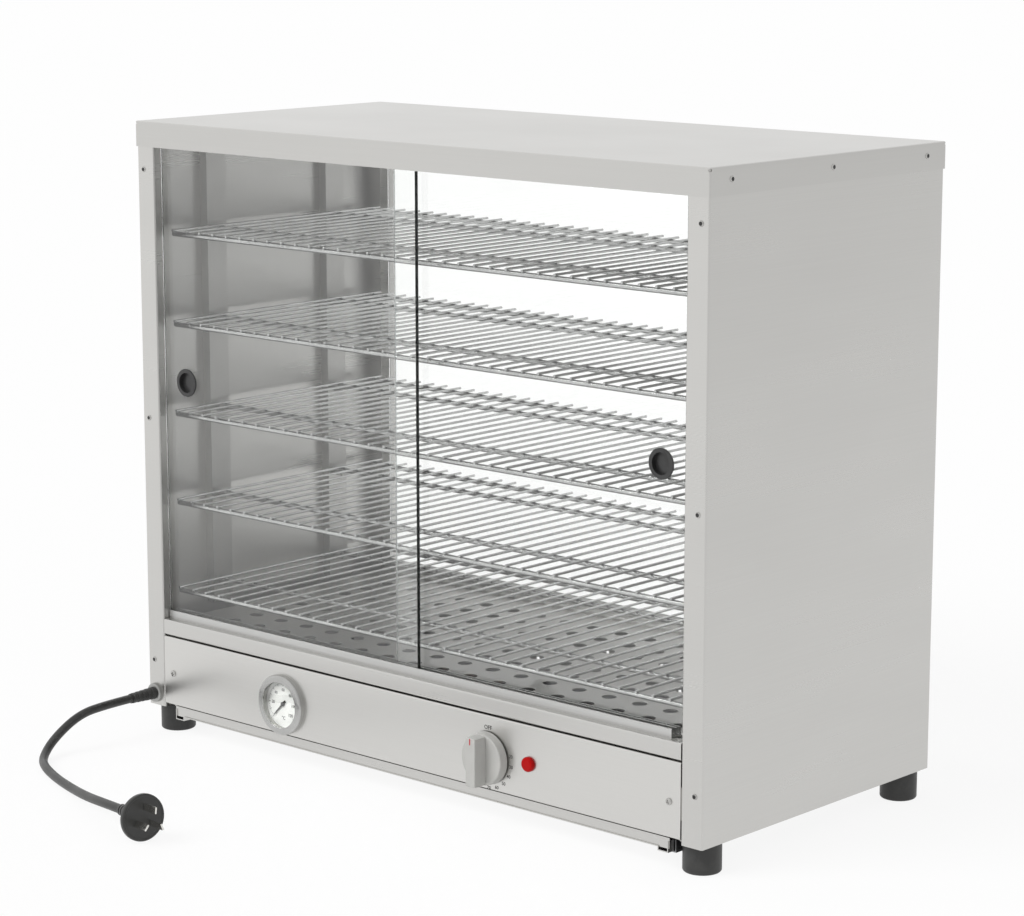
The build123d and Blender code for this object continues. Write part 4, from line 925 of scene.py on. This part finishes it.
class PIECASE_OT_controls(bpy.types.Operator):
    """Finishes the thermometer, the knob and the lamp, and prints their scales"""

    bl_idname = "piecase.controls"
    bl_label = "Thermometer, knob and lamp"

    def execute(self, context):
        colours = case_colours()
        bezel = finish("Bright bezel", (0.50, 0.50, 0.49), (0.42, 0.42, 0.41), 0.14, 0.26, 1.0,
                       "drawn", 0.04)
        dial = finish("Dial enamel", (0.84, 0.84, 0.82), (0.78, 0.78, 0.76), 0.35, 0.5, 0.0,
                      "moulded", 0.1)
        ink = finish("Scale ink", darker(colours.ink, 1.2), darker(colours.ink, 0.8), 0.4, 0.6, 0.0,
                     "moulded", 0.1)
        knob = finish("Knob plastic", darker(colours.knob, 1.04), darker(colours.knob, 0.95), 0.3,
                      0.44, 0.0, "moulded", 0.3)
        red = finish("Red mark", (0.52, 0.01, 0.02), (0.42, 0.01, 0.02), 0.35, 0.5, 0.0,
                     "moulded", 0.1)
        lamp = finish("Lamp lens", darker(colours.lamp, 1.05), darker(colours.lamp, 0.9), 0.28,
                      0.38, 0.0, "drawn", 0.1, size=3.0)
        lamp.node_tree.nodes["Principled BSDF"].inputs["Specular IOR Level"].default_value = 0.15
        lens = glass_finish("Dial lens", ("X",), CLEAR_GLASS)
        dress(bezel, "thermometer_bezel")
        dress(dial, "thermometer_dial")
        dress(ink, "thermometer_pointer")
        dress(lens, "thermometer_lens")
        dress(knob, "thermostat_knob")
        dress(lamp, "indicator_lens")
        self.dial_scale(ink)
        self.knob_scale(ink)
        self.knob_mark(red)
        return {"FINISHED"}

    def dial_scale(self, ink):
        """Numbers every 45 degrees, and ticks between them, printed on the dial."""
        sizes = case_sizes()
        rise = sizes.print_rise
        face = DIAL_LOW.y - rise / 2
        pieces = []
        for step in range(DIAL_NUMBERS):
            angle = math.radians(DIAL_START + DIAL_SWEEP * step / (DIAL_NUMBERS - 1))
            word = lettering(str(DIAL_VALUE_STEP * step), sizes.dial_number_height, rise)
            word.matrix_world = around(DIAL_CENTRE, angle, DIAL_NUMBER_RADIUS, face) @ FRONTWARD
            pieces.append(word)
        unit = lettering("\N{DEGREE SIGN}C", sizes.dial_number_height * 1.1, rise)
        unit.matrix_world = around(DIAL_CENTRE, math.pi, DIAL_NUMBER_RADIUS, face) @ FRONTWARD
        pieces.append(unit)
        for width, length, radius, count in DIAL_TICKS:
            places = []
            for step in range(count):
                angle = math.radians(DIAL_START + DIAL_SWEEP * step / (count - 1))
                turn = Matrix.Rotation(-angle, 4, "Z")
                places.append(around(DIAL_CENTRE, angle, radius, face) @ FRONTWARD @ turn)
            pieces += copies(bar(width, length, rise), places)
        settle(joined(pieces), "thermometer_scale", ink, "cabinet")

    def knob_scale(self, ink):
        """OFF at the top, then the numbers clockwise round the knob."""
        sizes = case_sizes()
        rise = sizes.print_rise
        face = PANEL_FACE - rise / 2
        word = lettering("OFF", sizes.off_height, rise)
        radius = sizes.scale_radius - OFF_INSET
        word.matrix_world = around(KNOB_CENTRE, 0.0, radius, face) @ FRONTWARD
        pieces = [word]
        for step in range(KNOB_NUMBERS):
            angle = math.radians(KNOB_START + KNOB_STEP * step)
            value = str(KNOB_FIRST_VALUE + KNOB_VALUE_STEP * step)
            number = lettering(value, sizes.scale_number_height, rise)
            number.matrix_world = around(KNOB_CENTRE, angle, sizes.scale_radius, face) @ FRONTWARD
            pieces.append(number)
        settle(joined(pieces), "knob_scale", ink, "cabinet")

    def knob_mark(self, red):
        mark = bar(*KNOB_MARK_SIZE)
        top = KNOB_HIGH.z - KNOB_MARK_DROP
        mark.matrix_world = Matrix.Translation((KNOB_CENTRE.x, KNOB_LOW.y, top)) @ FRONTWARD
        settle(mark, "knob_mark", red, "knob")


def around(centre, angle, radius, face):
    """A place on a front-facing dial: angle is clockwise from the top."""
    return Matrix.Translation((
        centre.x + math.sin(angle) * radius,
        face,
        centre.z + math.cos(angle) * radius,
    ))


class PIECASE_OT_fasteners(bpy.types.Operator):
    """Makes the panel screws and the blind rivets, and finishes the rest of the fixings"""

    bl_idname = "piecase.fasteners"
    bl_label = "Screws and rivets"

    def execute(self, context):
        steel = tuple(case_colours().steel)
        head = finish("Fixing steel", darker(steel, 0.95), darker(steel, 0.75), 0.2, 0.36, 1.0,
                      "drawn", 0.1)
        dark = finish("Rivet mandrel", (0.10, 0.10, 0.10), (0.05, 0.05, 0.05), 0.4, 0.6, 1.0,
                      "drawn", 0.2)
        zinc = finish("Zinc fixings", (0.62, 0.62, 0.60), (0.45, 0.45, 0.43), 0.25, 0.42, 1.0,
                      "drawn", 0.1)
        dress(zinc, "foot_fasteners", "gland_nut")
        self.screws(head)
        self.rivets(head, dark)
        return {"FINISHED"}

    def screws(self, material):
        low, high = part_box("panel_screws")
        level = (low.z + high.z) / 2
        screw = turned([
            (0.0010, -0.0060), (0.00185, -0.0050), (0.00185, 0.0), (SCREW_RADIUS, 0.0),
            (SCREW_RADIUS, 0.0005), (0.0031, 0.0010), (0.0024, 0.0015), (0.0013, 0.00178),
            (0.0003, SCREW_RISE),
        ], segments=32)
        self.cut_cross(screw)
        places = []
        reach = high.x - SCREW_RADIUS
        for side in (-1, 1):
            spin = Matrix.Rotation(math.radians(20 * side), 4, "Z")
            front = Matrix.Translation((side * reach, low.y + SCREW_RISE, level))
            back = Matrix.Translation((side * reach, high.y - SCREW_RISE, level))
            places += [front @ FRONTWARD @ spin, back @ BACKWARD @ spin]
        piece = settle(joined(copies(screw, places)), "panel_screw_heads", material, "cabinet")
        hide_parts("panel_screws")

    def cut_cross(self, screw):
        """Cuts a cross recess into a head, with two crossed bars as the cutter."""
        top = Matrix.Translation((0, 0, SCREW_RISE))
        arms = copies(bar(*RECESS_SIZE), [top, top @ Matrix.Rotation(math.radians(90), 4, "Z")])
        for arm in arms:
            pick(screw)
            cut = screw.modifiers.new("Recess", "BOOLEAN")
            cut.object = arm
            cut.operation = "DIFFERENCE"
            cut.solver = "EXACT"
            bpy.ops.object.modifier_apply(modifier=cut.name)
        for arm in arms:
            bpy.data.objects.remove(arm)

    def rivets(self, head_material, mandrel_material):
        low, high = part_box("rivets")
        body = turned([
            (0.0006, -0.0030), (0.0016, -0.0026), (0.0016, 0.0), (0.0028, 0.0), (0.0027, 0.0004),
            (0.0024, 0.0008), (0.0020, 0.0009), (0.0018, 0.0008), (0.0017, 0.0001),
            (0.0003, 0.0001),
        ], segments=28)
        mandrel = turned([
            (0.0004, -0.0006), (0.00165, -0.0004), (0.00165, 0.0003), (0.0013, 0.0006),
            (0.0003, 0.0007),
        ], segments=20)
        places = self.rivet_places(low, high)
        piece = settle(joined(copies(body, places)), "rivet_heads", head_material, "cabinet")
        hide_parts("rivets")
        settle(joined(copies(mandrel, places)), "rivet_mandrels", mandrel_material, "cabinet")

    def rivet_places(self, low, high):
        rightward = Matrix.Rotation(math.radians(90), 4, "Y")
        leftward = Matrix.Rotation(math.radians(-90), 4, "Y")
        places = []
        for x in (-POST_RIVET_X, POST_RIVET_X):
            for z in POST_RIVET_LEVELS:
                places.append(Matrix.Translation((x, low.y + RIVET_RISE, z)) @ FRONTWARD)
                places.append(Matrix.Translation((x, high.y - RIVET_RISE, z)) @ BACKWARD)
        for y in LID_RIVET_YS:
            right = Matrix.Translation((high.x - RIVET_RISE, y, LID_RIVET_LEVEL))
            left = Matrix.Translation((low.x + RIVET_RISE, y, LID_RIVET_LEVEL))
            places += [right @ rightward, left @ leftward]
        return places


class PIECASE_OT_workings(bpy.types.Operator):
    """Finishes the feet, the gland and what is under the floor"""

    bl_idname = "piecase.workings"
    bl_label = "Feet, gland and workings"

    def execute(self, context):
        rubber = tuple(case_colours().rubber)
        foot = finish("Foot rubber", darker(rubber, 1.5), darker(rubber, 0.85), 0.38, 0.58, 0.0,
                      "rubber", 0.3)
        plated = finish("Plated gland", (0.44, 0.44, 0.43), (0.34, 0.34, 0.33), 0.3, 0.45, 1.0,
                        "drawn", 0.05)
        sheath = finish("Element sheath", (0.26, 0.23, 0.20), (0.16, 0.15, 0.16), 0.38, 0.55, 1.0,
                        "scorched", 0.2)
        copper = finish("Copper bulb", (0.72, 0.40, 0.27), (0.48, 0.25, 0.16), 0.22, 0.4, 1.0,
                        "drawn", 0.1)
        box = finish("Control body", (0.09, 0.09, 0.088), (0.055, 0.055, 0.054), 0.34, 0.5, 0.0,
                     "moulded", 0.3)
        cream = finish("Terminal plastic", (0.66, 0.62, 0.52), (0.55, 0.51, 0.42), 0.4, 0.55, 0.0,
                       "moulded", 0.3)
        tin = finish("Thermometer case", (0.60, 0.60, 0.58), (0.48, 0.48, 0.46), 0.28, 0.42, 1.0,
                     "drawn", 0.1)
        wire = finish("Lead insulation", (0.06, 0.06, 0.06), (0.035, 0.035, 0.035), 0.36, 0.5, 0.0,
                      "rubber", 0.2)
        dress(foot, "front_left_foot", "front_right_foot", "rear_left_foot", "rear_right_foot")
        dress(plated, "cable_gland", "thermostat_shaft")
        dress(sheath, "heating_element")
        dress(copper, "thermostat_sensor", "thermometer_sensor")
        dress(box, "thermostat_body", "indicator_body")
        dress(cream, "terminal_block")
        dress(tin, "thermometer_case")
        dress(wire, "internal_leads")
        return {"FINISHED"}


class PIECASE_PT_panel(bpy.types.Panel):
    """The case's sizes, colours and steps"""

    bl_idname = "PIECASE_PT_panel"
    bl_label = "Pie display case"
    bl_space_type = "VIEW_3D"
    bl_region_type = "UI"
    bl_category = "Pie case"

    def draw(self, context):
        layout = self.layout
        for group in (context.scene.case_sizes, context.scene.case_colours):
            box = layout.box()
            for name in group.__annotations__:
                box.prop(group, name)
        for operator in OPERATORS:
            layout.operator(operator.bl_idname)


OPERATORS = (
    PIECASE_OT_stage,
    PIECASE_OT_lead,
    PIECASE_OT_sheet_metal,
    PIECASE_OT_glazing,
    PIECASE_OT_controls,
    PIECASE_OT_fasteners,
    PIECASE_OT_workings,
)
CLASSES = (CaseSizes, CaseColours, CasePattern, *OPERATORS, PIECASE_PT_panel)


def register():
    for item in CLASSES:
        bpy.utils.register_class(item)
    bpy.types.Scene.case_sizes = bpy.props.PointerProperty(type=CaseSizes)
    bpy.types.Scene.case_colours = bpy.props.PointerProperty(type=CaseColours)
    bpy.types.Scene.case_patterns = bpy.props.CollectionProperty(type=CasePattern)


def unregister():
    del bpy.types.Scene.case_patterns
    del bpy.types.Scene.case_colours
    del bpy.types.Scene.case_sizes
    for item in reversed(CLASSES):
        bpy.utils.unregister_class(item)


def main():
    register()
    bpy.ops.piecase.stage()
    bpy.ops.piecase.lead()
    bpy.ops.piecase.sheet_metal()
    bpy.ops.piecase.glazing()
    bpy.ops.piecase.controls()
    bpy.ops.piecase.fasteners()
    bpy.ops.piecase.workings()
    deselect()


if __name__ == "__main__":
    main()
